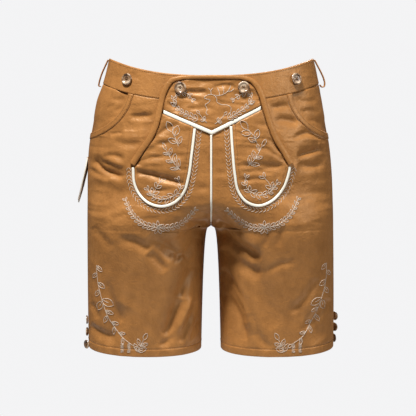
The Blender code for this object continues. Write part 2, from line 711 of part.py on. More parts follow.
def piping(collection, parent):
    """The cream piping: the V, the two U lines and the centre line."""
    both = []
    for side, sign in SIDES.items():
        _, inner = flap_side_lines(side)
        inner = beside(inner, -SEAM * sign)
        seam = v_line(side, 0)
        _, seam_at = crossing(inner, seam)
        both.append(between(seam, seam_at - V_END_TRIM, 0, 11))
    line = np.concatenate([both[0], both[1][-2::-1]])
    half = V_UPRIGHT_WIDTH / 2 * np.array((-1, 0, 1))
    grid = line[:, None] + np.stack([0 * half, half], -1)[None]
    points = front_points(grid[..., 0], grid[..., 1])
    rise = PIPING_RISE * np.array((PIPING_EDGE, 1, PIPING_EDGE))
    form_wall("piping_v", points, PIPING_LIFT + rise, rise, "cream", collection, parent)

    for side in SIDES:
        line = u_line(side, 0)
        seam = v_line(side, -V_WIDTH / 2 - 2 * SEAM)
        _, start = crossing(seam, line)
        line = between(line, start + U_START_TRIM, len(line) - 1, 32)
        strip(f"piping_u_{side}", line, U_WIDTH, PIPING_LIFT, PIPING_RISE, "cream", collection, parent)

    heights = np.linspace(V_APEX[1] - V_UPRIGHT_WIDTH / 2 - 2 * SEAM, CENTER_END_HEIGHT, 20)
    middle = np.stack([0 * heights, heights], -1)
    strip("piping_center", middle, CENTER_WIDTH, PIPING_LIFT, CENTER_RISE, "cream", collection, parent)


def ribbon(name, path, half_width, thickness, kind, collection, parent):
    """A strip of cloth swept along a path in X and Z, its width along Y, thickened by Solidify."""
    across = np.linspace(-1, 1, 3)
    y = half_width * across + 0 * path[:, :1]
    points = np.stack([path[:, :1] + 0 * y, y, path[:, 1:] + 0 * y], -1)
    index = np.arange(points.shape[0] * 3).reshape(-1, 3)
    quads = np.stack([index[:-1, :-1], index[:-1, 1:], index[1:, 1:], index[1:, :-1]], -1).reshape(-1, 4)
    mesh = bpy.data.meshes.new(name)
    mesh.from_pydata((points.reshape(-1, 3) * MM).tolist(), [], quads.tolist())
    part = add_object(name, mesh, kind, collection, parent)
    shell = part.modifiers.new("cloth", "SOLIDIFY")
    shell.thickness = thickness * MM
    shell.offset = 0
    shell.use_even_offset = True
    return part


def belt_loops(collection, parent):
    """A loop at each side of the waistband."""
    for side, sign in SIDES.items():
        table = np.array(BELT_LOOPS[side], float)
        path = smooth_line(table, LOOP_POINTS)
        x = sign * (section(side, path[:, 1]) + path[:, 0])
        ribbon(f"belt_loop_{side}", np.stack([x, path[:, 1]], -1), LOOP_WIDTH / 2, LOOP_WALL,
               "cloth", collection, parent)


def knife_pocket(collection, parent):
    """The tongue on the right side seam, and the cream piping round its edge."""
    order = TONGUE[::-1]
    height = np.linspace(TONGUE[0, 0], TONGUE[-1, 0], 13)
    stand_off, half_width = [smooth_read(order[:, 0], order[:, c], height) for c in (1, 2)]
    across = np.linspace(-1, 1, 5)
    y = half_width[:, None] * across
    x = -(section("right", height) + stand_off)[:, None] + TONGUE_CURL * across ** 2
    outer = np.stack([x - TONGUE_WALL / 2, y, height[:, None] + 0 * y], -1)
    inner = outer + (TONGUE_WALL, 0, 0)
    wall("knife_pocket", outer, inner, "cloth", collection, parent)

    clear = TONGUE_PIPING / 2 + 1.3 * SEAM
    front = np.stack([(outer[:, 0, 0] + inner[:, 0, 0]) / 2, outer[:, 0, 1] - clear, height], -1)
    tip = np.array([[front[-1, 0] - TONGUE_TIP_OUT, 0, front[-1, 2] - 2 * clear]])
    back = front[::-1] * (1, -1, 1)
    route = np.concatenate([front, tip, back])
    curve = bpy.data.curves.new("knife_piping", "CURVE")
    curve.dimensions = "3D"
    curve.bevel_depth = TONGUE_PIPING / 2 * MM
    curve.bevel_resolution = 1
    curve.use_fill_caps = True
    spline = curve.splines.new("POLY")
    spline.points.add(len(route) - 1)
    for place, point in zip(spline.points, route):
        place.co = (*(point * MM), 1)
    curve.materials.append(finish("knife_piping", "cream"))
    part = bpy.data.objects.new("knife_piping", curve)
    collection.objects.link(part)
    part.parent = parent


def button_mesh(name, radius, thickness):
    """A turned horn button: a dished middle inside a round rim."""
    profile = [(r * radius * MM, 0, h * thickness * MM) for r, h in BUTTON_PROFILE]
    mesh = bpy.data.meshes.new(name)
    mesh.from_pydata(profile, [(i, i + 1) for i in range(len(profile) - 1)], [])
    return mesh


def add_button(name, size, place, normal, stand_off, collection, parent):
    """Set one button on the cloth, facing along the normal."""
    mesh = button_mesh(name, size["radius"], size["thickness"])
    part = add_object(name, mesh, "horn", collection, parent)
    turned = part.modifiers.new("turned", "SCREW")
    turned.steps = turned.render_steps = BUTTON_STEPS
    turned.use_merge_vertices = True
    turned.merge_threshold = 0.00001
    part.location = Vector(place + normal * (stand_off + BUTTON_GAP)) * MM
    part.rotation_mode = "QUATERNION"
    part.rotation_quaternion = Vector(normal).to_track_quat("Z", "Y")


def buttons(collection, parent):
    """The four front buttons and the three at each leg's side seam."""
    for name, (x, height, level) in FRONT_BUTTONS.items():
        point = front_points(np.array(x), np.array(height))
        add_button(name, BIG_BUTTON, point, outward(point), level, collection, parent)
    counts = {"right": 0, "left": 0}
    for side, height, y, degrees, stand_off in HEM_BUTTONS:
        sign = SIDES[side]
        face = "front" if y < 0 else "back"
        centre, radius = ring(sign, np.array(float(height)))
        power = float(section("squareness", height))
        across = (1 - abs(y / float(section(face, height))) ** power) ** (1 / power)
        place = np.array([sign * float(centre + radius * across), y, height])
        angle = math.radians(degrees)
        normal = np.array([sign * math.cos(angle), -math.sin(angle), 0])
        counts[side] += 1
        name = f"button_hem_{side}_{counts[side]}"
        add_button(name, SMALL_BUTTON, place, normal, stand_off, collection, parent)


def main():
    for old in list(bpy.data.objects):
        bpy.data.objects.remove(old, do_unlink=True)
    collection = bpy.data.collections.new("drop_front_shorts")
    bpy.context.scene.collection.children.link(collection)
    parent = bpy.data.objects.new("drop_front_shorts", None)
    collection.objects.link(parent)
    for side in SIDES:
        leg_front(side, collection, parent)
        leg_back(side, collection, parent)
    waistband(collection, parent)
    pockets(collection, parent)
    flap_pieces(collection, parent)
    binding(collection, parent)
    piping(collection, parent)
    belt_loops(collection, parent)
    knife_pocket(collection, parent)
    buttons(collection, parent)


main()
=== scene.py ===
"""Embroidered drop-front folk shorts in tan micro suede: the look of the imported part, cell by cell."""
# %% [markdown]
# # Embroidered drop-front folk shorts
# Knee-length folk shorts in golden micro suede, filled out as if worn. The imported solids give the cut
# and the size. This file dresses each of them: finer cloth with creases, cream piping, line embroidery,
# sewing thread and marbled buttons. All tables are in millimetres; meshes are written in metres.

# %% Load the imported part
import math

import bpy
import numpy as np
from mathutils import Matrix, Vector


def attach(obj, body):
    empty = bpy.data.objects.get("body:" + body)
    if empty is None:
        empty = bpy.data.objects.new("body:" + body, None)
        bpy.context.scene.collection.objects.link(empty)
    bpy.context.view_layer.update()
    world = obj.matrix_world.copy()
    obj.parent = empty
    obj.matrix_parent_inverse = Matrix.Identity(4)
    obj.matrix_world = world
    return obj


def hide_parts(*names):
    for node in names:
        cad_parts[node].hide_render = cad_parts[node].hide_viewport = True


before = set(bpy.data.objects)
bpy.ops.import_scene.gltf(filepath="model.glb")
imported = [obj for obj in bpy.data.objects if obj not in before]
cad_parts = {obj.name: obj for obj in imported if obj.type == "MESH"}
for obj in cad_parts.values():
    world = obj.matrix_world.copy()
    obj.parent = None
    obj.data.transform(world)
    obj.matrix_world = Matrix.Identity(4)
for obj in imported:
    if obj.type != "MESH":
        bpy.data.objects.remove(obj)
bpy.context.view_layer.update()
MM = 0.001
SIDES = {"right": -1, "left": 1}
print("solids:", len(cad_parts))

# %% [markdown]
# ## Small tools
# Four short functions come up all through the file: a soft step, unit vectors, lengths along a line, and
# the depth of an oval.

# %% Small tools


def ease(share):
    """A soft step from 0 to 1: 3 t^2 - 2 t^3."""
    share = np.clip(share, 0, 1)
    return share * share * (3 - 2 * share)


def unit(vectors):
    """The same directions, each 1 long."""
    return vectors / np.linalg.norm(vectors, axis=-1, keepdims=True)


def run_length(line):
    """How far along a line each of its points lies."""
    return np.concatenate([[0], np.cumsum(np.linalg.norm(np.diff(line, axis=0), axis=-1))])


def oval(share, power):
    """A squarish oval's depth at a share of its half width: (1 - share^power)^(1 / power)."""
    return (1 - np.clip(np.abs(share), 0, 1) ** power) ** (1 / power)


print("half way, a soft step is at", float(ease(0.5)))

# %% [markdown]
# ## The body form
# Every panel lies on one smooth form, so that neighbours meet at their seams. A level section of the
# form is a squarish oval: a half waist above the crotch, and a whole leg below it. A short table gives
# its widths and depths at eleven heights, and a smooth curve reads the table between its rows.

# %% Sections of the body form
SEAM = 0.3
CROTCH_HEIGHT = -259.0
HIP_MERGE = 76.0
HIP_MERGE_SHAPE = 2.7
LEG_GAP = 17.5
LEG_GAP_SHAPE = 0.25
HEM_SIDE_HEIGHT = -476.0
INSEAM_LENGTH = 222.0
SECTION_COLUMNS = ("height", "right", "left", "front", "back", "squareness")
SECTIONS = np.array((
    (40, 180, 181, 100, 100, 2.30),
    (0, 190, 190, 106, 106, 2.30),
    (-35, 203, 197, 110, 112, 2.30),
    (-75, 210.5, 204, 115, 120, 2.32),
    (-115, 217.5, 211, 119, 129, 2.35),
    (-165, 220.5, 216, 121, 136, 2.35),
    (-215, 221.2, 218.2, 119, 134, 2.32),
    (-265, 221.8, 219.5, 112, 126, 2.22),
    (-330, 222.3, 220.8, 101, 112, 2.15),
    (-410, 222.3, 221.8, 90, 98, 2.15),
    (-500, 221.6, 222, 81, 87, 2.15),
), float)
SLOPE_STEP = 0.05


def smooth_read(knots, values, at):
    """Read a table's column between its rows, along a smooth curve (cubic Hermite)."""
    slopes = np.gradient(values, knots)
    cell = np.clip(np.searchsorted(knots, at) - 1, 0, len(knots) - 2)
    width = knots[cell + 1] - knots[cell]
    t = np.clip((at - knots[cell]) / width, 0, 1)
    rest = 1 - t
    return (values[cell] * (1 + 2 * t) * rest ** 2 + values[cell + 1] * t ** 2 * (3 - 2 * t)
            + width * (slopes[cell] * t * rest ** 2 - slopes[cell + 1] * t ** 2 * rest))


def section(name, height):
    """Read one column of SECTIONS at any height."""
    rows = SECTIONS[::-1]
    return smooth_read(rows[:, 0], rows[:, SECTION_COLUMNS.index(name)], np.asarray(height, float))


def leg_gap(height):
    """Half the gap between the legs, blunt at the crotch and wider towards the hems."""
    below = np.clip(CROTCH_HEIGHT - height, 0, None) / INSEAM_LENGTH
    return LEG_GAP * below ** LEG_GAP_SHAPE


def ring(sign, height):
    """The half section's centre and half width: a half waist above, a whole leg below the crotch."""
    width = np.where(np.asarray(sign) > 0, section("left", height), section("right", height))
    share = (1 - np.clip((height - CROTCH_HEIGHT) / HIP_MERGE, 0, 1) ** 2) ** HIP_MERGE_SHAPE
    radius = np.where(height >= CROTCH_HEIGHT, width / (1 + share), (width - leg_gap(height)) / 2)
    return width - radius, radius


print("waist round, mm:", round(4 * float(section("right", 0.0)) * 1.28))

# %% [markdown]
# A piece of cloth stands off the form along the form's own normal. The normal is the slope of the
# section's equation, so it needs no mesh and is the same for every piece that passes through a place.

# %% Points and normals on the form


def form_value(x, y, height):
    """The section's oval equation: 0 on the form, above 0 outside it."""
    centre, radius = ring(np.sign(x), height)
    depth = np.where(y < 0, section("front", height), section("back", height))
    power = section("squareness", height)
    return np.abs((np.abs(x) - centre) / radius) ** power + np.abs(y / depth) ** power - 1


def outward(points):
    """Unit normals of the form at points on it; seams on the middle line stay in their plane."""
    x, y, z = np.moveaxis(points, -1, 0)
    slopes = [
        form_value(x + SLOPE_STEP, y, z) - form_value(x - SLOPE_STEP, y, z),
        form_value(x, y + SLOPE_STEP, z) - form_value(x, y - SLOPE_STEP, z),
        form_value(x, y, z + SLOPE_STEP) - form_value(x, y, z - SLOPE_STEP),
    ]
    slopes[0] = np.where(np.abs(x) < SEAM, 0, slopes[0])
    return unit(np.stack(slopes, -1))


def lifted(points, level):
    """Points moved off the form along its normal."""
    return points + outward(points) * np.asarray(level)[..., None]


def front_points(x, height):
    """Points on the form's front that lie at the given width and height."""
    x = np.where(np.abs(x) < SEAM / 2, SEAM / 2, x)
    centre, radius = ring(np.sign(x), height)
    y = -section("front", height) * oval((np.abs(x) - centre) / radius, section("squareness", height))
    return np.stack([x, y, height], -1)


def round_points(sign, face, turn, height):
    """Points round the form: turn is 0 at the side seam and 1 at the middle line or inseam."""
    centre, radius = ring(sign, height)
    power = section("squareness", height)
    middle = np.where(height > CROTCH_HEIGHT, np.clip((centre - SEAM / 2) / radius, 0, 1), 1)
    last = np.pi - np.arccos(middle ** (power / 2))
    angle = turn * last
    across = np.sign(np.cos(angle)) * np.abs(np.cos(angle)) ** (2 / power)
    depth = section(face, height) * np.abs(np.sin(angle)) ** (2 / power)
    x = np.maximum(centre + radius * across, SEAM / 2)
    y = np.maximum(depth, SEAM / 2) * (-1 if face == "front" else 1)
    return np.stack([sign * x, y, height + 0 * x], -1)


# %% [markdown]
# ## Heights of the waist
# The waist dips at the middle and rises at the sides. The waistband is one width all round.

# %% Waist and seam heights
WAIST_FRONT_HEIGHT = 8.0
WAIST_BACK_HEIGHT = 10.0
WAIST_SIDE_HEIGHT = 39.2
WAIST_CURVE = 2.1
WAISTBAND_WIDTH = 44.5


def waist_height(face, degrees):
    """Height of the waist edge, by the angle round from the side seam."""
    middle = WAIST_FRONT_HEIGHT if face == "front" else WAIST_BACK_HEIGHT
    return middle + (WAIST_SIDE_HEIGHT - middle) * np.abs(np.cos(np.radians(degrees))) ** WAIST_CURVE


def seam_height(face, degrees):
    """Height of the waistband's lower seam."""
    return waist_height(face, degrees) - WAISTBAND_WIDTH


# %% [markdown]
# ## Lines on the cloth
# Seams, piping and edges are smooth lines through a few places, given as width and height on the front.

# %% Smooth lines and patches


def even_steps(line, count):
    """The same line with a given number of evenly spaced points."""
    run = run_length(line)
    at = np.linspace(0, run[-1], count)
    return np.stack([np.interp(at, run, column) for column in line.T], -1)


def smooth_line(points, count):
    """A smooth curve through a few points, divided into equal steps."""
    points = np.asarray(points, float)
    knots = run_length(points)
    fine = np.linspace(0, knots[-1], 12 * len(points))
    line = np.stack([smooth_read(knots, column, fine) for column in points.T], -1)
    return even_steps(line, count)


def beside(line, distance):
    """The line moved sideways, to the left of its direction for a distance above 0."""
    along = unit(np.gradient(line, axis=0))
    across = np.stack([-along[:, 1], along[:, 0]], -1)
    return line + across * np.reshape(distance, (-1, 1))


def crossing(first, second):
    """Where two lines cross: the index on each, whole part and fraction."""
    for i in range(len(first) - 1):
        start, run = first[i], first[i + 1] - first[i]
        other, other_run = second[:-1], np.diff(second, axis=0)
        area = run[0] * other_run[:, 1] - run[1] * other_run[:, 0]
        gap = other - start
        t = (gap[:, 0] * other_run[:, 1] - gap[:, 1] * other_run[:, 0]) / area
        u = (gap[:, 0] * run[1] - gap[:, 1] * run[0]) / area
        hit = np.flatnonzero((t >= 0) & (t <= 1) & (u >= 0) & (u <= 1))
        if len(hit):
            return i + t[hit[0]], hit[0] + u[hit[0]]
    raise ValueError("the lines do not cross")


def between(line, start, end, count):
    """The part of a line between two indices, in even steps."""
    at = np.linspace(start, end, 8 * count)
    index = np.arange(len(line))
    return even_steps(np.stack([np.interp(at, index, column) for column in line.T], -1), count)


def patch(top, bottom, first, last):
    """Fill four edge lines that share their corners with a smooth grid of points (a Coons patch)."""
    u = np.linspace(0, 1, len(top))[None, :, None]
    v = np.linspace(0, 1, len(first))[:, None, None]
    across = (1 - v) * top[None] + v * bottom[None]
    down = (1 - u) * first[:, None] + u * last[:, None]
    corners = ((1 - u) * (1 - v) * top[0] + u * (1 - v) * top[-1]
               + (1 - u) * v * bottom[0] + u * v * bottom[-1])
    return across + down - corners


# %% [markdown]
# ## The drop flap's outline
# The flap buttons at the waist and hangs down in two lobes. Its free edges are bound, and each lobe
# ends in a piped U. The V of piping divides its yoke from the lobes.

# %% Flap outline
EDGE_COLUMNS = ("height", "right", "left")
FLAP_EDGE = np.array((
    (6.6, 50, 52), (2.0, 69, 70), (-8, 78.5, 81), (-24, 86, 89.5), (-48, 91.5, 96.5), (-75, 98, 105),
    (-97, 108, 113.5), (-118, 123, 126.5), (-141, 138, 139.5),
), float)
BINDING_WIDTH = 9.5
BINDING_TOP_WIDTH = 7.0
V_WIDTH = 6.5
V_APEX = (1.0, -89.5)
V_END = {"right": (-88.0, -51.5), "left": (91.0, -44.5)}
U_WIDTH = 4.5
U_LINE = {
    "right": ((-27, -75), (-33, -125), (-38.5, -164), (-46, -189), (-60, -206), (-82, -214.5),
              (-107, -209), (-123, -194), (-131, -176), (-133, -149)),
    "left": ((33, -72), (36.5, -125), (40, -160), (46, -189), (59, -206), (80, -213.5),
             (105, -204.5), (121, -187), (130.5, -165), (134.5, -148)),
}


def flap_side_lines(side):
    """The flap's free edge on one side, and the binding's inner edge, from top to bottom."""
    sign = SIDES[side]
    column = FLAP_EDGE[:, EDGE_COLUMNS.index(side)]
    outer = smooth_line(np.stack([sign * column, FLAP_EDGE[:, 0]], -1), 60)
    share = np.clip(np.linspace(0, 5, len(outer)), 0, 1)
    width = BINDING_TOP_WIDTH + (BINDING_WIDTH - BINDING_TOP_WIDTH) * share
    return outer, beside(outer, width * sign * -1)


def v_line(side, offset):
    """The V seam from the apex outwards, moved up by an offset."""
    apex, end = np.array(V_APEX), np.array(V_END[side])
    lift = offset / math.cos(math.atan2(end[1] - apex[1], abs(end[0] - apex[0])))
    return np.array([apex, end]) + (0, lift)


def u_line(side, offset):
    """The U seam from the V outwards and up again, moved into the lobe by an offset."""
    return beside(smooth_line(U_LINE[side], 80), offset * SIDES[side])


def flap_outline(side):
    """The outline of the flap's half, closed along the middle line."""
    outer, _ = flap_side_lines(side)
    seam = u_line(side, 0)[::-1]
    top = np.array([[0, WAIST_FRONT_HEIGHT]])
    return np.concatenate([top, outer, seam, np.array([V_APEX])])


def distance_to(line, x, height):
    """Distance of places on the front from a line."""
    start, run = line[:-1], np.diff(line, axis=0)
    place = np.stack([x, height], -1)[..., None, :] - start
    share = np.clip((place * run).sum(-1) / np.maximum((run * run).sum(-1), 1e-9), 0, 1)
    return np.linalg.norm(place - share[..., None] * run, axis=-1).min(-1)


def inside(outline, x, height):
    """Whether places lie inside a closed outline, by counting crossings."""
    start, end = outline, np.roll(outline, -1, axis=0)
    z = height[..., None]
    spans = (start[:, 1] > z) != (end[:, 1] > z)
    slope = (end[:, 0] - start[:, 0]) / np.where(end[:, 1] == start[:, 1], 1, end[:, 1] - start[:, 1])
    reach = start[:, 0] + (z - start[:, 1]) * slope
    return (spans & (x[..., None] < reach)).sum(-1) % 2 == 1


def flap_depth(x, height):
    """How far inside the flap a place lies, and how far it is from the flap's edge."""
    depth = np.zeros(x.shape)
    away = np.full(x.shape, np.inf)
    for side, sign in SIDES.items():
        outline = flap_outline(side)
        edge = distance_to(outline[1:], x, height)
        within = inside(outline, x, height) & (np.sign(x) == sign)
        depth = np.where(within, edge, depth)
        away = np.minimum(away, edge)
    return depth, away


# %% [markdown]
# ## Creases
# Worn cloth pulls towards the crotch, the pockets and the flap. Each crease is drawn as a bent
# line through three places, with a width, a depth and how much softer one side is than the other. Real
# creases are steep on one side, and a plain sine would look like a ripple in water.

# %% Crease tables
# The large folds of the solids. Columns: x from, height from, x to, height to, half width, depth.
FRONT_FOLDS = np.array((
    (-208, -137, -150, -168, 9, -3.0),
    (-196, -131, -146, -147, 9, 2.4),
    (-205, -162, -140, -180, 10, 2.0),
    (-106, -266, -64, -305, 15, -5.5),
    (-64, -305, -12, -258, 15, -5.0),
    (-92, -250, -30, -248, 16, 3.6),
    (-18, -290, -84, -470, 18, -4.8),
    (-44, -330, -40, -465, 14, 4.0),
    (-150, -390, -185, -465, 16, -4.0),
    (14, -258, 78, -308, 16, -5.0),
    (66, -300, 112, -432, 18, -5.2),
    (20, -268, 88, -286, 15, 3.6),
    (16, -345, 54, -470, 15, -4.6),
    (150, -380, 192, -460, 16, -3.6),
    (148, -128, 190, -114, 9, -2.6),
    (146, -150, 200, -142, 9, -2.0),
    (108, -62, 150, -72, 11, -2.2),
    (-104, -70, -150, -82, 11, -2.2),
), float)
BACK_FOLDS = np.array((
    (-150, -128, -60, -150, 16, -3.0),
    (-30, -215, -110, -262, 16, -5.0),
    (-24, -248, -92, -300, 15, 4.0),
    (-30, -300, -96, -455, 18, -5.0),
    (-160, -330, -140, -460, 18, -3.8),
    (60, -140, 160, -122, 16, -3.6),
    (26, -222, 120, -268, 16, -5.2),
    (26, -254, 84, -306, 15, 4.0),
    (36, -310, 84, -462, 18, -4.8),
    (168, -320, 150, -455, 18, -3.8),
), float)
FLAP_FOLDS = np.array((
    (-126, -153, -52, -172, 7, -1.5),
    (-118, -120, -60, -112, 9, -1.0),
    (56, -150, 124, -160, 8, -1.3),
    (50, -118, 96, -112, 9, -1.0),
    (-60, -30, -18, -22, 8, -0.8),
    (24, -20, 60, -34, 8, -0.8),
), float)
FOLD_END_SHAPE = 4
FOLD_SEAM_MARGIN = 3.0
FLAP_LIFT = 1.1
FLAP_WALL = 1.6
FLAP_SINK = 2.5
FLAP_SINK_MARGIN = 15.0
FLAP_CALM = 13.0

# Finer creases. Columns: three places (x, height), half width, depth, softness of the far side.
FRONT_CREASES = (
    (-206, -139, -181, -158, -149, -165, 4.2, -2.5, 1.6),
    (-190, -140, -168, -147, -149, -152, 4, -1.3, 1.5),
    (-188, -133, -168, -129, -149, -137, 5, -1.5, 1.2),
    (-214, -156, -188, -166, -175, -170, 5, -1.4, 1),
    (-140, -63, -124, -62, -99, -62, 7, -1.6, 1),
    (-175, -93, -162, -90, -152, -91, 5, -0.8, 1),
    (-168, -105, -143, -111, -121, -108, 8, -1.0, 1),
    (-160, -273, -126, -279, -106, -294, 9, -2.0, 1.3),
    (-106, -294, -93, -309, -77, -329, 8, -2.0, 1.3),
    (-97, -274, -60, -278, -22, -254, 8, -1.8, 1.6),
    (-81, -282, -60, -297, -48, -307, 9, -3.0, 1.8),
    (-48, -307, -35, -295, -20, -273, 9, -2.6, 1.4),
    (-23, -324, -44, -356, -52, -381, 8, -3.0, 1.6),
    (-52, -381, -65, -417, -80, -448, 8, -2.6, 1.5),
    (-37, -379, -46, -408, -61, -443, 6, 1.8, 1),
    (-27, -390, -42, -428, -52, -462, 6, -2.2, 1.5),
    (-21, -425, -29, -436, -37, -460, 5, -1.2, 1.2),
    (-183, -348, -169, -395, -154, -422, 9, -1.6, 1.2),
    (-216, -434, -196, -444, -169, -451, 8, -1.9, 1.3),
    (-215, -394, -205, -406, -201, -420, 7, -1.2, 1),
    (-207, -255, -191, -271, -171, -291, 9, -1.2, 1.2),
    (-53, -246, -39, -243, -20, -241, 5, -1.2, 1.2),
    (-90, -463, -78, -457, -63, -448, 6, -1.2, 1.2),
    (-171, -241, -156, -232, -143, -229, 7, -0.8, 1),
    (14, -259, 45, -283, 88, -307, 8, -3.0, 1.6),
    (19, -293, 48, -317, 88, -337, 9, -2.4, 1.5),
    (20, -330, 42, -371, 64, -422, 9, -2.8, 1.5),
    (23, -375, 49, -420, 60, -456, 7, -2.2, 1.3),
    (67, -406, 82, -443, 104, -469, 8, -1.5, 1.2),
    (31, -354, 60, -403, 78, -443, 7, 1.8, 1),
    (96, -255, 95, -270, 91, -286, 5, -1.0, 1),
    (118, -248, 118, -266, 115, -286, 6, -1.2, 1),
    (88, -337, 117, -318, 146, -313, 7, -0.9, 1),
    (183, -343, 170, -372, 136, -405, 9, -1.4, 1.2),
    (212, -386, 194, -405, 159, -440, 9, -1.6, 1.2),
    (147, -129, 170, -123, 201, -115, 4, -1.9, 1.6),
    (140, -101, 174, -90, 201, -106, 6, -1.6, 1.3),
    (101, -52, 119, -45, 138, -46, 7, -1.4, 1.2),
    (108, -73, 130, -68, 153, -76, 7, -1.0, 1),
    (149, -144, 172, -148, 199, -144, 7, -1.0, 1),
    (-26, -230, -15, -228, -4, -231, 4, -1.0, 1.2),
    (-42, -245, -25, -246, -6, -244, 5, -1.6, 1.3),
    (-57, -257, -36, -262, -10, -251, 6, -1.4, 1.2),
    (6, -224, 15, -226, 26, -232, 4, -1.0, 1.2),
    (10, -244, 30, -252, 55, -261, 5, -1.4, 1.2),
    (-23, -182, -14, -184, -5, -181, 4, -0.7, 1),
    (8, -160, 17, -158, 26, -162, 4, -0.7, 1),
)
FLAP_CREASES = (
    (-133, -155, -96, -163, -40, -178, 4.5, -2.4, 1.8),
    (-127, -146, -103, -133, -42, -127, 5, -1.3, 1.4),
    (-100, -104, -78, -84, -51, -75, 5, -1.3, 1.3),
    (-107, -122, -89, -110, -56, -100, 5, -0.9, 1.2),
    (-118, -183, -89, -188, -57, -182, 5, -0.8, 1),
    (-107, -204, -85, -208, -57, -201, 4, -0.9, 1.2),
    (45, -145, 76, -143, 127, -147, 4.5, -1.6, 1.6),
    (47, -156, 87, -152, 130, -143, 4.5, -1.2, 1.3),
    (51, -172, 76, -168, 105, -173, 4, -0.9, 1.2),
    (96, -100, 108, -111, 119, -127, 4, -1.2, 1.4),
    (87, -111, 105, -125, 127, -135, 4, -1.1, 1.2),
    (42, -91, 65, -88, 87, -94, 5, -0.8, 1),
    (51, -182, 65, -189, 87, -193, 5, -0.7, 1),
    (-76, -39, -67, -43, -53, -50, 4, -1.2, 1.3),
    (-46, -17, -24, -22, -6, -20, 4, -1.0, 1.2),
    (4, -13, 26, -9, 44, -15, 4, -1.0, 1.2),
    (63, -17, 72, -26, 81, -39, 4, -1.2, 1.4),
    (-39, -50, -14, -47, 8, -52, 5, -0.8, 1),
    (15, -39, 36, -41, 65, -46, 5, -0.8, 1),
    (-57, -26, -35, -32, -21, -39, 4, -0.7, 1),
)
POCKET_CREASES = (
    (-176, -30, -162, -33, -150, -30, 4, -1.6, 1.4),
    (-169, -53, -159, -49, -153, -44, 4.5, -1.6, 1.4),
    (-182, -47, -176, -46, -167, -41, 4, -0.9, 1),
    (-179, -67, -170, -63, -162, -61, 4, -0.8, 1),
    (146, -31, 165, -36, 185, -32, 4.5, -1.4, 1.3),
    (157, -56, 172, -52, 191, -56, 4.5, -1.2, 1.2),
    (168, -72, 182, -70, 194, -75, 4, -0.9, 1),
)
BACK_CREASES = (
    (-200, -120, -150, -138, -95, -136, 8, -2.2, 1.6),
    (-190, -160, -130, -176, -80, -170, 9, -1.8, 1.4),
    (-60, -60, -110, -70, -160, -62, 9, -1.4, 1.2),
    (-8, -180, -50, -205, -104, -214, 8, -2.4, 1.7),
    (-10, -214, -60, -244, -120, -258, 8, -2.8, 1.7),
    (-30, -262, -84, -282, -140, -280, 9, -2.4, 1.5),
    (-26, -290, -56, -350, -70, -420, 9, -2.8, 1.6),
    (-24, -340, -40, -400, -42, -455, 7, -2.0, 1.4),
    (-118, -330, -128, -390, -118, -450, 9, -1.8, 1.4),
    (-170, -360, -186, -410, -180, -455, 8, -1.6, 1.3),
    (-206, -250, -186, -290, -150, -318, 9, -1.4, 1.2),
    (10, -176, 56, -196, 108, -200, 8, -2.2, 1.7),
    (10, -220, 70, -246, 128, -256, 8, -2.8, 1.7),
    (34, -268, 90, -290, 150, -286, 9, -2.2, 1.5),
    (28, -300, 60, -360, 66, -430, 9, -2.6, 1.6),
    (22, -350, 34, -400, 40, -450, 7, -1.8, 1.4),
    (122, -320, 118, -380, 130, -440, 9, -1.8, 1.4),
    (176, -350, 190, -400, 176, -452, 8, -1.6, 1.3),
    (202, -130, 150, -146, 100, -140, 8, -2.0, 1.6),
    (196, -176, 140, -188, 90, -178, 9, -1.6, 1.4),
    (70, -66, 120, -74, 164, -64, 9, -1.3, 1.2),
    (208, -240, 180, -276, 150, -300, 9, -1.4, 1.2),
)
print("creases:", len(FRONT_CREASES) + len(FLAP_CREASES) + len(POCKET_CREASES) + len(BACK_CREASES))

# %% The shape of folds and creases
FINE_DEPTH = 1.8
FINE_CALM = 4.0
FLAP_FINE_CALM = 5.0
CREASE_WIDTH = 0.82
CREASE_STEPS = 8
LATTICE = 64
BACK_SHIFT = 700
HIP_FROM, HIP_BLEND = -290.0, 60.0
FRONT_DEPTH, HIP_SOFTER = 1.3, 0.1
# The turned hem: how thick it stands, the groove at its sewing and that groove's width, its puckers.
HEM_THICK, HEM_GROOVE, HEM_GROOVE_WIDTH = 0.45, 0.5, 1.3
HEM_PUCKER, HEM_PUCKER_STEP, HEM_PUCKER_WIDTH = 0.16, 7.3, 5
# Grooves in the flap. Columns: depth, half width.
BINDING_GROOVE, LOBE_GROOVE = (1.1, 1.5), (0.6, 0.9)
HEM_INNER_HEIGHT = -481.0
HEM_DROP = 4.5
HEM_WIDTH = 14.0
TURNED_EDGE = 5.2


def folds(table, x, height):
    """Sum of the table's soft ridges and troughs at the given places."""
    total = np.zeros(np.broadcast(x, height).shape)
    for x_from, z_from, x_to, z_to, half_width, depth in table:
        run = np.array([x_to - x_from, z_to - z_from])
        along = np.clip(((x - x_from) * run[0] + (height - z_from) * run[1]) / (run @ run), 0, 1)
        away = np.hypot(x - x_from - along * run[0], height - z_from - along * run[1])
        ends = 1 - (2 * along - 1) ** FOLD_END_SHAPE
        total += depth * ends * np.exp(-(away / half_width) ** 2)
    return total


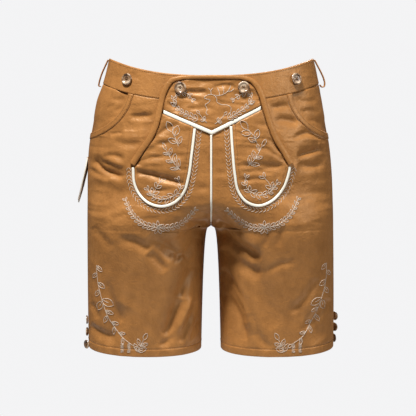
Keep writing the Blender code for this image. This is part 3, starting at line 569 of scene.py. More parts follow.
def creases(table, x, height):
    """Sum of bent creases at the given places.

    A crease's line is the parabola through its three places. Its depth at a place is
    depth * (1 - (2 s - 1)^4) * exp(-(distance / width)^2), where s is the share of the way along it,
    and width is the half width on the steep side and half width * softness on the other.
    """
    total = np.zeros(np.broadcast(x, height).shape)
    place = np.stack(np.broadcast_arrays(x, height), -1)
    t = np.linspace(0, 1, CREASE_STEPS + 1)[:, None]
    for x0, z0, x1, z1, x2, z2, half_width, depth, softness in table:
        line = (2 * t - 1) * (t - 1) * (x0, z0) + 4 * t * (1 - t) * (x1, z1) + t * (2 * t - 1) * (x2, z2)
        half_width = CREASE_WIDTH * half_width
        reach = 3 * half_width * softness
        near = ((place > line.min(0) - reach) & (place < line.max(0) + reach)).all(-1)
        gap = place[near][:, None] - line[:-1]
        run = np.diff(line, axis=0)
        share = np.clip((gap * run).sum(-1) / (run * run).sum(-1), 0, 1)
        away = gap - share[..., None] * run
        distance = np.linalg.norm(away, axis=-1)
        best = distance.argmin(-1)
        row = np.arange(len(best))
        side = run[best, 0] * away[row, best, 1] - run[best, 1] * away[row, best, 0]
        width = half_width * np.where(side > 0, 1, softness)
        along = (best + share[row, best]) / CREASE_STEPS
        ends = 1 - (2 * along - 1) ** FOLD_END_SHAPE
        total[near] += depth * ends * np.exp(-(distance[row, best] / width) ** 2)
    return total


def ripple(x, height, wide, high, seed):
    """Smooth random waves from -1 to 1: random values on a lattice of cells wide by high, blended
    between the lattice's corners with the soft step 3 t^2 - 2 t^3."""
    lattice = np.random.default_rng(seed).uniform(-1, 1, (LATTICE, LATTICE))
    u, v = x / wide + LATTICE / 2 + 0.5, height / high + LATTICE / 2 + 0.5
    i, j = np.floor(u).astype(int), np.floor(v).astype(int)
    a, b = ease(u - i), ease(v - j)
    i, j, after_i, after_j = i % LATTICE, j % LATTICE, (i + 1) % LATTICE, (j + 1) % LATTICE
    return ((1 - a) * (1 - b) * lattice[i, j] + a * (1 - b) * lattice[after_i, j]
            + (1 - a) * b * lattice[i, after_j] + a * b * lattice[after_i, after_j])


def crinkle(x, height, wide, high, seed):
    """Sharp little ridges from -1 to 1: 1 - 2 |ripple|, sharpest where the ripple is 0."""
    return 1 - 2 * np.abs(ripple(x, height, wide, high, seed))


def hem_line(turn):
    """Height of the hem: it runs from the side seam (0) to the inseam (1) and sags in between."""
    return HEM_SIDE_HEIGHT + (HEM_INNER_HEIGHT - HEM_SIDE_HEIGHT) * turn - HEM_DROP * np.sin(np.pi * turn)


def hem_height(points):
    """Height of the hem under each point."""
    x, _, z = np.moveaxis(points, -1, 0)
    centre, radius = ring(np.sign(x), np.minimum(z, CROTCH_HEIGHT - 1))
    across = np.clip((np.abs(x) - centre) / radius, -1, 1)
    return hem_line(np.arccos(np.sign(across) * np.abs(across) ** (section("squareness", z) / 2)) / np.pi)


def calmed(distance, margin):
    """0 at a seam and nearly 1 from twice the margin on."""
    return 1 - np.exp(-(distance / margin) ** 2)


def leg_level(points, face):
    """How far a leg panel's outer face stands off the form: the solids' folds, the finer creases and
    uneven ripples, all calmed to 0 at the seams, less the dip behind the flap. The turned hem is a
    little thicker and puckers at its sewing."""
    x, _, z = np.moveaxis(points, -1, 0)
    centre, radius = ring(np.sign(x), z)
    from_side = np.clip(centre + radius - np.abs(x), 0, None)
    from_inseam = np.clip(np.abs(x) - (centre - radius), 0, None)
    calm = calmed(from_side, FOLD_SEAM_MARGIN)
    calm *= np.where(z < CROTCH_HEIGHT, calmed(from_inseam, FOLD_SEAM_MARGIN), 1)
    hip = ease((z - HIP_FROM) / HIP_BLEND)
    at = x if face == "front" else x + BACK_SHIFT
    uneven = (hip * (0.7 * ripple(at, z, 42, 11, 3) + 0.4 * crinkle(at, z, 30, 8, 13))
              + (1 - hip) * (0.5 * ripple(at, z, 15, 60, 4) + 0.25 * crinkle(at + z, z, 22, 40, 14))
              + 0.22 * ripple(at, z, 11, 9, 5))
    over_hem = z - hem_height(points) - HEM_WIDTH
    turned = (HEM_THICK * ease(-over_hem / 2) - HEM_GROOVE * np.exp(-(over_hem / HEM_GROOVE_WIDTH) ** 2)
              + HEM_PUCKER * np.sin(x * 2 * np.pi / HEM_PUCKER_STEP)
              * np.exp(-(over_hem / HEM_PUCKER_WIDTH) ** 2))
    if face == "back":
        return calm * (folds(BACK_FOLDS, x, z) + FINE_DEPTH * creases(BACK_CREASES, x, z) + uneven + turned)
    depth, away = flap_depth(x, z)
    behind = ease(depth / FLAP_SINK_MARGIN)
    outside = depth == 0
    large, fine = calmed(away, FLAP_CALM) * outside, calmed(away, FINE_CALM) * outside
    fine_depth = FINE_DEPTH * (FRONT_DEPTH - HIP_SOFTER * hip)
    small = fine_depth * creases(FRONT_CREASES, x, z) + uneven + turned
    return calm * (large * folds(FRONT_FOLDS, x, z) + fine * small) - FLAP_SINK * behind


def seam_grooves(x, height):
    """Grooves in the flap: beside its binding, and where the lobes' turned edges end inside the U."""
    total = 0 * x
    for side, sign in SIDES.items():
        edge = beside(flap_side_lines(side)[1], -2 * SEAM * sign)
        turned = u_line(side, U_WIDTH / 2 + TURNED_EDGE)
        for line, (deep, width) in ((edge, BINDING_GROOVE), (turned[::3], LOBE_GROOVE)):
            total = total + deep * np.exp(-(distance_to(line, x, height) / width) ** 2)
    return total


def flap_level(points):
    """The flap's outer face: lifted off the cloth behind it, with its own small folds and creases."""
    x, _, z = np.moveaxis(points, -1, 0)
    _, away = flap_depth(x, z)
    calm, fine = calmed(away, FLAP_CALM), calmed(away, FLAP_FINE_CALM)
    uneven = (0.7 * ripple(x, z, 30, 9, 6) + 0.75 * crinkle(x - 0.4 * z, z + 0.1 * x, 28, 8, 15)
              + 0.3 * ripple(x, z, 9, 8, 7))
    return (FLAP_LIFT + FLAP_WALL + calm * folds(FLAP_FOLDS, x, z)
            + fine * (FINE_DEPTH * creases(FLAP_CREASES, x, z) + uneven) - seam_grooves(x, z))


# %% [markdown]
# ## From points to cloth
# A cloth wall is two grids, an outer and an inner face, joined round the rim. Its thickness runs out in
# a quarter circle at every edge, so a seam between two walls shows as a soft groove, as sewn seams do.

# %% Cloth walls
CLOSE = np.array((0.1, 0.35, 0.7))
THINNEST = 0.12


def finely(last, per_step, edge, extra=()):
    """Even numbers from 0 to last, with a few more close to both ends for the rounded edge."""
    close = edge * CLOSE
    return np.unique(np.concatenate([np.linspace(0, last, last * per_step + 1), close, last - close, extra]))


def mesh_object(name, points, faces, materials, material_index=None, uv=None):
    """A smooth-shaded mesh in metres from points in millimetres and an array of quads."""
    mesh = bpy.data.meshes.new(name)
    mesh.vertices.add(len(points))
    mesh.vertices.foreach_set("co", (np.asarray(points) * MM).astype(np.float32).ravel())
    count = faces.shape[1]
    mesh.loops.add(faces.size)
    mesh.loops.foreach_set("vertex_index", faces.astype(np.int32).ravel())
    mesh.polygons.add(len(faces))
    mesh.polygons.foreach_set("loop_start", np.arange(0, faces.size, count, dtype=np.int32))
    if material_index is not None:
        mesh.polygons.foreach_set("material_index", material_index.astype(np.int32))
    if uv is not None:
        layer = mesh.uv_layers.new(name="run")
        layer.data.foreach_set("uv", uv[faces.ravel()].astype(np.float32).ravel())
    for material in materials:
        mesh.materials.append(material)
    mesh.update(calc_edges=True)
    mesh.validate()
    mesh.shade_smooth()
    piece = bpy.data.objects.new(name, mesh)
    bpy.context.scene.collection.objects.link(piece)
    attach(piece, "root")
    return piece


def outward_faces(points, faces):
    """Turn all quads round if the closed mesh's signed volume, the sum of a . (b x c) / 6 over its
    triangles, is below 0."""
    a, b, c, d = (points[faces[:, k]] for k in range(4))
    volume = (a * np.cross(b, c)).sum() + (a * np.cross(c, d)).sum()
    return faces[:, ::-1] if volume < 0 else faces


def grid_faces(index):
    """Quads between the neighbouring rows and columns of a grid of point numbers."""
    return np.stack([index[:-1, :-1], index[:-1, 1:], index[1:, 1:], index[1:, :-1]], -1).reshape(-1, 4)


def closed(index):
    """The grid of point numbers with its first column again at the end, for a round shape."""
    return np.concatenate([index, index[:, :1]], 1)


def wall(name, outer, inner, materials):
    """A closed wall between two grids of points; the inner face takes the second material."""
    rows, columns = outer.shape[:2]
    index = np.arange(rows * columns).reshape(rows, columns)
    face = grid_faces(index)
    rim = np.concatenate([index[0, :], index[1:, -1], index[-1, -2::-1], index[-2:0:-1, 0]])
    after = np.roll(rim, -1)
    under = rows * columns
    sides = np.stack([after, rim, rim + under, after + under], -1)
    faces = np.concatenate([face, face[:, ::-1] + under, sides])
    points = np.concatenate([outer.reshape(-1, 3), inner.reshape(-1, 3)])
    which = np.zeros(len(faces))
    which[len(face):2 * len(face)] = len(materials) - 1
    return mesh_object(name, points, outward_faces(points, faces), materials, which)


def edge_round(points, radius):
    """Share of the full thickness at each grid point: sqrt(1 - (1 - d / radius)^2), where d is the
    distance along the cloth to the nearest edge of the grid."""
    share = np.ones(points.shape[:2])
    for axis in (0, 1):
        run = np.linalg.norm(np.diff(points, axis=axis), axis=-1)
        zero = np.zeros_like(run[:1] if axis == 0 else run[:, :1])
        run = np.concatenate([zero, np.cumsum(run, axis=axis)], axis=axis)
        total = run[-1:] if axis == 0 else run[:, -1:]
        d = np.clip(np.minimum(run, total - run) / radius, 0, 1)
        share = np.minimum(share, np.sqrt(1 - (1 - d) ** 2))
    return np.clip(share, THINNEST, 1)


def stand_for(solid):
    """Show a piece in place of its solid, by hiding the solid."""
    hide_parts(solid)


def cloth(name, points, level, thickness, solid=None, rim=1.1, materials=None):
    """One cut piece of cloth on the form: a wall whose outer face stands off the form by level."""
    normal = outward(points)
    level = np.broadcast_to(level, points.shape[:2])[..., None]
    half = 0.5 * thickness * edge_round(points, rim)[..., None]
    middle = level - 0.5 * thickness
    outer, inner = points + normal * (middle + half), points + normal * (middle - half)
    piece = wall(name, outer, inner, materials or [CLOTH, REVERSE])
    stand_for(solid or name.removesuffix("_cloth"))


# %% [markdown]
# ## Materials
# The cloth is a polyester micro suede with a satin face: a fine nap over a close weave. Two shader node
# groups do the shared work. One paints uneven colour, the other gives the nap's height for a bump.

# %% Shader node groups
MIX_FIRST, MIX_SECOND, MIX_RESULT = 6, 7, 2  # a mix node's sockets for colours
NAP_SHARE = 0.18


def new_group(name, inputs, outputs):
    """A shader node group with named sockets."""
    group = bpy.data.node_groups.new(name, "ShaderNodeTree")
    for label, kind, value in inputs:
        socket = group.interface.new_socket(label, in_out="INPUT", socket_type=kind)
        socket.default_value = value
    for label, kind in outputs:
        group.interface.new_socket(label, in_out="OUTPUT", socket_type=kind)
    return group, group.nodes.new("NodeGroupInput"), group.nodes.new("NodeGroupOutput")


def give(made, values):
    """Set a node's inputs by name or number."""
    for label, value in values.items():
        made.inputs[label].default_value = value


def node(tree, kind, links=(), **settings):
    """Add a node, set its values by name and link its inputs from (socket name, output socket)."""
    made = tree.nodes.new(kind)
    for label, value in settings.items():
        if label in made.inputs:
            made.inputs[label].default_value = value
        elif label.replace("_", " ").title() in made.inputs:
            made.inputs[label.replace("_", " ").title()].default_value = value
        else:
            setattr(made, label, value)
    for label, source in links:
        tree.links.new(source, made.inputs[label])
    return made


def make_mottle():
    """Uneven colour: broad clouds, streaks that follow the cloth's length, and fine specks."""
    group, start, end = new_group(
        "uneven colour",
        [("Light", "NodeSocketColor", (1, 1, 1, 1)), ("Dark", "NodeSocketColor", (0, 0, 0, 1)),
         ("Cloud Size", "NodeSocketFloat", 22.0), ("Speck Size", "NodeSocketFloat", 900.0)],
        [("Color", "NodeSocketColor"), ("Mask", "NodeSocketFloat")])
    place = node(group, "ShaderNodeTexCoord").outputs["Object"]
    clouds = node(group, "ShaderNodeTexNoise", [("Vector", place), ("Scale", start.outputs["Cloud Size"])],
                  detail=5.0, roughness=0.62, distortion=0.6)
    stretched = node(group, "ShaderNodeMapping", [("Vector", place)], Scale=(70, 70, 34))
    streaks = node(group, "ShaderNodeTexNoise", [("Vector", stretched.outputs["Vector"])],
                   scale=1.0, detail=3.0, roughness=0.6)
    specks = node(group, "ShaderNodeTexNoise", [("Vector", place), ("Scale", start.outputs["Speck Size"])],
                  detail=2.0, roughness=0.7)
    first = node(group, "ShaderNodeMath", [(0, clouds.outputs["Fac"]), (1, streaks.outputs["Fac"])],
                 operation="ADD")
    second = node(group, "ShaderNodeMath", [(0, first.outputs[0]), (1, specks.outputs["Fac"])],
                  operation="ADD")
    mask = node(group, "ShaderNodeMapRange", [("Value", second.outputs[0])])
    give(mask, {"From Min": 1.15, "From Max": 1.85})
    mix = node(group, "ShaderNodeMix", [(0, mask.outputs[0]), (MIX_FIRST, start.outputs["Dark"]),
                                        (MIX_SECOND, start.outputs["Light"])], data_type="RGBA")
    group.links.new(mix.outputs[MIX_RESULT], end.inputs["Color"])
    group.links.new(mask.outputs[0], end.inputs["Mask"])
    return group


def make_nap():
    """Height of a napped, closely woven face: fine nap, and a soft crumple a few millimetres wide."""
    group, start, end = new_group(
        "nap height", [("Nap Size", "NodeSocketFloat", 1400.0), ("Crumple Size", "NodeSocketFloat", 120.0),
                       ("Crumple", "NodeSocketFloat", 1.0)],
        [("Height", "NodeSocketFloat")])
    place = node(group, "ShaderNodeTexCoord").outputs["Object"]
    nap = node(group, "ShaderNodeTexNoise", [("Vector", place), ("Scale", start.outputs["Nap Size"])],
               detail=2.0, roughness=0.6)
    crumple = node(group, "ShaderNodeTexNoise", [("Vector", place), ("Scale", start.outputs["Crumple Size"])],
                   detail=3.0, roughness=0.55, distortion=1.2)
    strong = node(group, "ShaderNodeMath", [(0, crumple.outputs["Fac"]), (1, start.outputs["Crumple"])],
                  operation="MULTIPLY")
    small = node(group, "ShaderNodeMath", [(0, nap.outputs["Fac"])], operation="MULTIPLY")
    give(small, {1: NAP_SHARE})
    total = node(group, "ShaderNodeMath", [(0, strong.outputs[0]), (1, small.outputs[0])], operation="ADD")
    group.links.new(total.outputs[0], end.inputs["Height"])
    return group


MOTTLE = make_mottle()
NAP = make_nap()
print("shader groups:", MOTTLE.name, "and", NAP.name)

# %% [markdown]
# The satin face has a warm, tinted shine; only the reverse has a little sheen of nap. The piping is a
# smooth cream ribbon, and the threads have a twist that follows their length, with painted shade between the
# plies.

# %% Cloth, piping and thread materials
PLY_DEPTH = 0.00012


def new_material(name, values):
    """A material, its node tree and its shader, with the shader's plain values set."""
    material = bpy.data.materials.new(name)
    material.use_nodes = True
    shader = material.node_tree.nodes["Principled BSDF"]
    give(shader, values)
    return material, material.node_tree, shader


def napped(name, light, dark, roughness, sheen, nap_depth, crumple, tint=(1, 1, 1, 1)):
    """A napped fabric: uneven colour, uneven roughness and a bump of nap and crumple."""
    material, tree, shader = new_material(name, {
        "Sheen Weight": sheen, "Sheen Roughness": 0.4, "Sheen Tint": (1.0, 0.86, 0.66, 1),
        "Specular IOR Level": 0.6, "Specular Tint": tint})
    color = node(tree, "ShaderNodeGroup", node_tree=MOTTLE)
    give(color, {"Light": light, "Dark": dark})
    height = node(tree, "ShaderNodeGroup", node_tree=NAP)
    give(height, {"Crumple": crumple})
    rough = node(tree, "ShaderNodeMapRange", [("Value", color.outputs["Mask"])])
    give(rough, {"To Min": roughness + 0.08, "To Max": roughness - 0.06})
    bump = node(tree, "ShaderNodeBump", [("Height", height.outputs["Height"])])
    give(bump, {"Strength": 1.0, "Distance": nap_depth})
    tree.links.new(color.outputs["Color"], shader.inputs["Base Color"])
    tree.links.new(rough.outputs[0], shader.inputs["Roughness"])
    tree.links.new(bump.outputs["Normal"], shader.inputs["Normal"])
    return material


def twisted(name, light, dark, twist, roughness):
    """Thread: stripes that lean across the run for its two twisted plies; the dark stripes are painted shade
    in the grooves between the plies, and a bump of the same stripes gives their relief.
    """
    material, tree, shader = new_material(name, {"Roughness": roughness, "Specular IOR Level": 0.4})
    run = node(tree, "ShaderNodeUVMap", uv_map="run")
    turned = node(tree, "ShaderNodeMapping", [("Vector", run.outputs["UV"])], Scale=(twist, 1, 1))
    wave = node(tree, "ShaderNodeTexWave", [("Vector", turned.outputs["Vector"])],
                bands_direction="DIAGONAL", scale=1.0)
    mix = node(tree, "ShaderNodeMix", [(0, wave.outputs["Fac"])], data_type="RGBA")
    give(mix, {MIX_FIRST: dark, MIX_SECOND: light})
    bump = node(tree, "ShaderNodeBump", [("Height", wave.outputs["Fac"])], distance=PLY_DEPTH)
    tree.links.new(mix.outputs[MIX_RESULT], shader.inputs["Base Color"])
    tree.links.new(bump.outputs["Normal"], shader.inputs["Normal"])
    return material


# Columns: name, light and dark colour, roughness, sheen, nap depth, crumple.
CLOTH = napped("tan micro suede", (0.485, 0.212, 0.061, 1), (0.335, 0.140, 0.037, 1),
               0.40, 0.0, 0.0008, 1.0, tint=(1.0, 0.78, 0.52, 1))
REVERSE = napped("reverse of the micro suede", (0.40, 0.24, 0.12, 1), (0.30, 0.17, 0.08, 1),
                 0.8, 0.05, 0.0004, 0.6)
PIPING = napped("cream piping", (1.0, 0.96, 0.84, 1), (0.94, 0.88, 0.72, 1), 0.5, 0.0, 0.0002, 0.3)
# Columns: name, light and dark colour (the dark one is painted shade between the plies), twist, roughness.
EMBROIDERY = twisted("greyish beige embroidery thread", (0.86, 0.72, 0.58, 1), (0.70, 0.55, 0.42, 1),
                     2200, 0.45)
SEWING = twisted("tan sewing thread", (0.30, 0.135, 0.040, 1), (0.16, 0.066, 0.020, 1), 2600, 0.5)
print("materials:", ", ".join(m.name for m in (CLOTH, REVERSE, PIPING, EMBROIDERY, SEWING)))

# %% [markdown]
# ## Leg panels
# Four panels make the legs: two fronts cut away for the hip pockets, and two backs. Their rows of points
# run from the outer edge to the middle seam or the inseam, as on the solids, with six steps to each row.

# %% Leg panels
LEG_WALL = 1.8
HEM_DROP_CURVE = 6
POCKET_ROW, FRONT_CROTCH_ROW, FRONT_HEM_ROW = 10, 21, 33
POCKET_ROW_INNER = 75.0
FRONT_CROTCH_SIDE = 159.0
BACK_CROTCH_ROW, BACK_HEM_ROW = 12, 23
BACK_CROTCH_SIDE = 258.0
TOP_ROWS = 3
POCKET_TURN = 47.0
POCKET_DROP = 87.0
POCKET_BAND_TURN = 4.0
POCKET_SEAM_TURN = 0.2
POCKET_BAND_DROP = 11.5


def pocket_edge(turn, drop, share):
    """A quarter oval below the waistband seam: turn * cos(a) round from the side seam and
    drop * sin(a) down, with a going from 0 to a right angle as share goes from 0 to 1."""
    angle = share * np.pi / 2
    degrees = turn * np.cos(angle)
    return degrees / 90, seam_height("front", degrees) - SEAM / 2 - drop * np.sin(angle)


def inner_heights(sign, face, number, rows, lengths, hem_row):
    """Heights of the rows on the middle seam, measured along it, and then evenly down the inseam."""
    top = float(seam_height(face, 90)) - SEAM / 2
    height = CROTCH_HEIGHT + (top - CROTCH_HEIGHT) * np.linspace(1, 0, 400) ** 3
    run = run_length(round_points(sign, face, np.ones(len(height)), height))
    upper = np.interp(np.interp(number, rows, [*lengths, run[-1]]), run, height)
    lower_share = np.clip((number - rows[-1]) / (hem_row - rows[-1]), 0, 1)
    return np.where(number <= rows[-1], upper, CROTCH_HEIGHT - INSEAM_LENGTH * lower_share)


def panel_grid(sign, face, number, outer_turn, outer_height, inner_height, columns):
    """A leg panel's points: every row goes evenly from its outer edge to its inner one, follows the
    waistband seam near the top, and sags a little near the hem."""
    across = finely(1, columns, 0.004)[None, :]
    turn = outer_turn[:, None] * (1 - across) + across
    height = outer_height[:, None] * (1 - across) + inner_height[:, None] * across
    height = height - HEM_DROP * (number[:, None] / number[-1]) ** HEM_DROP_CURVE * np.sin(np.pi * across)
    top = 1 - np.clip(number[:, None] / TOP_ROWS, 0, 1)
    seam = seam_height(face, turn * 90) - SEAM / 2
    height = height * (1 - top) + (seam + (height - height[0:1])) * top
    return round_points(sign, face, turn, height)


def front_grid(side, per_row=6, columns=130):
    """Points of one leg front."""
    sign = SIDES[side]
    number = finely(FRONT_HEM_ROW, per_row, 0.1, FRONT_HEM_ROW - 0.757 + np.linspace(-0.15, 0.15, 7))
    turn, height = pocket_edge(POCKET_TURN + POCKET_BAND_TURN + POCKET_SEAM_TURN,
                               POCKET_DROP + POCKET_BAND_DROP + SEAM, np.clip(number / POCKET_ROW, 0, 1))
    side_height = np.interp(number, (POCKET_ROW, FRONT_CROTCH_ROW, FRONT_HEM_ROW),
                            (height[-1], height[-1] - FRONT_CROTCH_SIDE, HEM_SIDE_HEIGHT))
    above = number <= POCKET_ROW
    inner = inner_heights(sign, "front", number, (0, POCKET_ROW, FRONT_CROTCH_ROW), (0, POCKET_ROW_INNER),
                          FRONT_HEM_ROW)
    return panel_grid(sign, "front", number, np.where(above, turn, 0), np.where(above, height, side_height),
                      inner, columns)


def back_grid(side, per_row=6, columns=96):
    """Points of one leg back."""
    sign = SIDES[side]
    number = finely(BACK_HEM_ROW, per_row, 0.07, BACK_HEM_ROW - 0.694 + np.linspace(-0.14, 0.14, 7))
    top = float(seam_height("back", 0)) - SEAM / 2
    outer = np.interp(number, (0, BACK_CROTCH_ROW, BACK_HEM_ROW),
                      (top, top - BACK_CROTCH_SIDE, HEM_SIDE_HEIGHT))
    inner = inner_heights(sign, "back", number, (0, BACK_CROTCH_ROW), (0,), BACK_HEM_ROW)
    return panel_grid(sign, "back", number, 0 * number, outer, inner, columns)


for side in SIDES:
    for face, grid in (("front", front_grid(side)), ("back", back_grid(side))):
        cloth(f"{face}_{side}_cloth", grid, leg_level(grid, face), LEG_WALL)

# %% [markdown]
# Inside, each seam has its allowance: the edges that are turned in and pressed flat. It is a narrow
# strip of the same cloth on the wall's inner face, and it also keeps light from showing through.

# %% Seam allowances
ALLOWANCE = np.array((-5.6, -3.8, -1.9, -0.2, 0.2, 1.9, 3.8, 5.6))
ALLOWANCE_WALL = 0.5
ALLOWANCE_SINK = 0.15
POCKET_END = -125.0
POCKET_LAST = 0.61
POCKET_SINK = 2.3
AROUND, ALONG = 120, 90  # steps along a strip round the waist, and along a seam
SEAM_STRIP_END = 0.36  # the middle seams' strips end a little above the crotch


def allowance(name, panel, x, y, height, sink=0.0):
    """A strip of cloth on the inner face of the leg panels, over the seam that the points follow."""
    points = np.stack(np.broadcast_arrays(x, y, height), -1)
    level = np.where(points[..., 1] < 0, leg_level(points, "front"), leg_level(points, "back"))
    level = level - LEG_WALL - ALLOWANCE_SINK - sink
    cloth(name, points, level, ALLOWANCE_WALL, solid=panel, rim=0.4, materials=[REVERSE])


for face, pocket_sink in (("front", POCKET_SINK), ("back", 0.0)):
    turn = np.linspace(0.01, 0.998, AROUND)[None, :]
    sink = pocket_sink * ease((POCKET_LAST - turn) / 0.05)
    right, left = (round_points(sign, face, turn + 0 * ALLOWANCE[:, None],
                                seam_height(face, turn * 90) + ALLOWANCE[:, None]) for sign in (-1, 1))
    grid = np.concatenate([right, left[:, ::-1]], axis=1)
    allowance(f"{face}_waist_allowance", "waistband_back" if face == "back" else "waistband_front_left",
              *np.moveaxis(grid, -1, 0), np.concatenate([sink, sink[:, ::-1]], 1))
for face, turned_in in (("front", -1), ("back", 1)):
    top = seam_height(face, 90) - 0.5
    height = CROTCH_HEIGHT + (top - CROTCH_HEIGHT) * np.linspace(1, SEAM_STRIP_END, ALONG)[:, None] ** 3
    centre, radius = ring(ALLOWANCE[None, :], height)
    y = section(face, height) * oval((np.abs(ALLOWANCE) - centre) / radius, section("squareness", height))
    allowance(f"{face}_seam_allowance", f"{face}_left", ALLOWANCE[None, :], turned_in * y, height)
# Columns: seam, top height, bottom height, on the leg's outer (1) or inner (-1) edge.
LONG_SEAMS = (("side", WAIST_SIDE_HEIGHT - WAISTBAND_WIDTH - 1, HEM_SIDE_HEIGHT + 1, 1),
              ("inseam", CROTCH_HEIGHT - 1.5, HEM_INNER_HEIGHT + 1, -1))
for side, sign in SIDES.items():
    for seam, top, bottom, edge in LONG_SEAMS:
        height = np.linspace(top, bottom, ALONG)[:, None]
        centre, radius = ring(sign, height)
        depth = np.where(ALLOWANCE[None, :] < 0, section("front", height), section("back", height))
        x = centre + edge * radius * oval(ALLOWANCE[None, :] / depth, section("squareness", height))
        sink = POCKET_SINK * ease(-ALLOWANCE[None, :] / 3) * ease((height - POCKET_END) / 10) * (edge > 0)
        allowance(f"{seam}_allowance_{side}", f"back_{side}", sign * x, ALLOWANCE[None, :], height, sink)

# %% [markdown]
# ## Waistband
# The waistband is cut double and turned over at the top, so it is the thickest cloth wall.

# %% Waistband
BAND_WALL = 2.4
BAND_LIFT = 0.6


def waistband_grid(sign, face, columns=84):
    """Points of a waistband piece, from its lower seam to the waist edge, by the angle round."""
    turn = finely(1, columns, 0.005)[None, :]
    up = finely(1, 18, 0.03)[:, None]
    low = seam_height(face, turn * 90) + SEAM / 2
    high = waist_height(face, turn * 90)
    return round_points(sign, face, turn + 0 * up, low + (high - low) * up)


def waistband_level(points, face):
    """The band's outer face: a small lift, soft ripples, and the dip behind the flap."""
    x, _, z = np.moveaxis(points, -1, 0)
    dip = np.minimum(leg_level(points, face), 0) * (face == "front")
    return BAND_LIFT + 0.35 * ripple(x + 300, z, 30, 14, 8) + dip


for side, sign in SIDES.items():
    grid = waistband_grid(sign, "front")
    cloth(f"waistband_front_{side}_cloth", grid, waistband_level(grid, "front"), BAND_WALL, rim=1.3)
back_right, back_left = (waistband_grid(sign, "back") for sign in (-1, 1))
grid = np.concatenate([back_right[:, :-1], back_left[:, -2::-1]], axis=1)
cloth("waistband_back_cloth", grid, waistband_level(grid, "back"), BAND_WALL, rim=1.3)

# %% [markdown]
# ## Hip pockets
# Each pocket mouth has a turned band. Behind it lies the hip panel, a little lower than the leg front.

# %% Hip pockets
POCKET_WALL = 1.5
POCKET_BAND_WALL = 2.2
POCKET_TUCK = 3.0
POCKET_DEPTH = 2.4
POCKET_NEAR, POCKET_REACH = 8.0, 32.0
POCKET_RIM = 0.9
BAND_SHARES = finely(1, 8, 0.12)


def pocket_band_grid(sign):
    """Points of the pocket band: quarter ovals side by side, from the mouth outwards."""
    edges = []
    for share in BAND_SHARES:
        turn, height = pocket_edge(POCKET_TURN + POCKET_BAND_TURN * share,
                                   POCKET_DROP + POCKET_BAND_DROP * share, finely(1, 70, 0.01))
        edges.append(round_points(sign, "front", turn, height))
    return np.stack(edges, 1)


def pocket_panel_grid(sign, half=34):
    """Points of the hip panel: a patch between the waistband, the side seam and the tucked edge."""
    turn, height = pocket_edge(POCKET_TURN + POCKET_TUCK, POCKET_DROP + 3 * POCKET_TUCK,
                               np.linspace(0, 1, 2 * half + 1))
    edge = np.stack([turn * 90, height], -1)
    top_degrees = np.linspace(0, edge[0, 0], half + 1)
    top = np.stack([top_degrees, seam_height("front", top_degrees) - SEAM / 2], -1)
    first = np.stack([np.zeros(half + 1), np.linspace(top[0, 1], edge[-1, 1], half + 1)], -1)
    grid = patch(top, edge[:half - 1:-1], first, edge[:half + 1])
    return grid, round_points(sign, "front", grid[..., 0] / 90, grid[..., 1])


for side, sign in SIDES.items():
    band = pocket_band_grid(sign)
    lift = 0.7 + 0.4 * np.sin(np.pi * BAND_SHARES)[None, :]
    cloth(f"pocket_band_{side}_cloth", band, lift, POCKET_BAND_WALL, rim=1.2)
    chart, panel = pocket_panel_grid(sign)
    turn, height = pocket_edge(POCKET_TURN, POCKET_DROP, np.linspace(0, 1, 60))
    mouth = round_points(sign, "front", turn, height)
    away = np.linalg.norm(panel[..., None, :] - mouth, axis=-1).min(-1)
    degrees, z = np.moveaxis(chart, -1, 0)
    inner = np.hypot(degrees / POCKET_TURN, (seam_height("front", degrees) - z) / POCKET_DROP)
    near = ease((POCKET_REACH - away) / (POCKET_REACH - POCKET_NEAR))
    calm = ease(degrees / 8) * ease(away / 6)
    x, z = panel[..., 0], panel[..., 2]
    level = (-POCKET_DEPTH * np.where(inner > POCKET_RIM, 1, near)
             + calm * (creases(POCKET_CREASES, x, z) + 0.4 * ripple(x, z, 18, 10, 9)))
    cloth(f"pocket_panel_{side}_cloth", panel, level, POCKET_WALL)

# %% [markdown]
# ## The drop flap
# The yoke and both lobes are patches between the binding, the V and the U lines.

# %% Flap yoke and lobes
FLAP_TOP_BEND = 1.2
LOBE_CORNER = 0.46


def flap_grids(fine=56, top_fine=96):
    """Points of the yoke and of the two lobes, each a patch of four edge lines."""
    trim = V_WIDTH / 2 + SEAM
    inner = {side: beside(flap_side_lines(side)[1], -2 * SEAM * sign) for side, sign in SIDES.items()}
    grids, sides = {}, {}
    for side in SIDES:
        seam = v_line(side, trim)
        at, seam_at = crossing(inner[side], seam)
        sides[side] = (between(inner[side], 0, at, fine), between(seam, seam_at, 0, top_fine // 2 + 1))
    bend = np.linspace(-1, 1, top_fine + 1)
    top = even_steps(np.stack([inner["right"][0], inner["left"][0]]), top_fine + 1)
    top = top + np.stack([0 * bend, FLAP_TOP_BEND * (1 - bend ** 2)], -1)
    bottom = np.concatenate([sides["right"][1], sides["left"][1][-2::-1]])
    grids["flap_yoke"] = patch(top, bottom, sides["right"][0], sides["left"][0])
    for side in SIDES:
        seam = v_line(side, -trim)
        round_line = u_line(side, U_WIDTH / 2 + SEAM)
        edge_at, seam_out = crossing(inner[side], seam)
        seam_in, round_at = crossing(seam, round_line)
        corner = LOBE_CORNER * len(round_line)
        last = between(round_line, round_at, corner, fine)
        bottom = between(round_line, len(round_line) - 1, corner, fine)
        first = between(inner[side], edge_at, len(inner[side]) - 1, fine)
        bottom[0] = first[-1]
        grids[f"flap_lobe_{side}"] = patch(between(seam, seam_out, seam_in, fine), bottom, first, last)
    return grids


for name, grid in flap_grids().items():
    points = front_points(grid[..., 0], grid[..., 1])
    cloth(f"{name}_cloth", points, flap_level(points), FLAP_WALL, rim=0.9)

# %% [markdown]
# The free edge is bound with a padded strip of the same cloth. Its round back throws the shadow that
# outlines the flap, and the sewing along its inner edge puckers it a little.

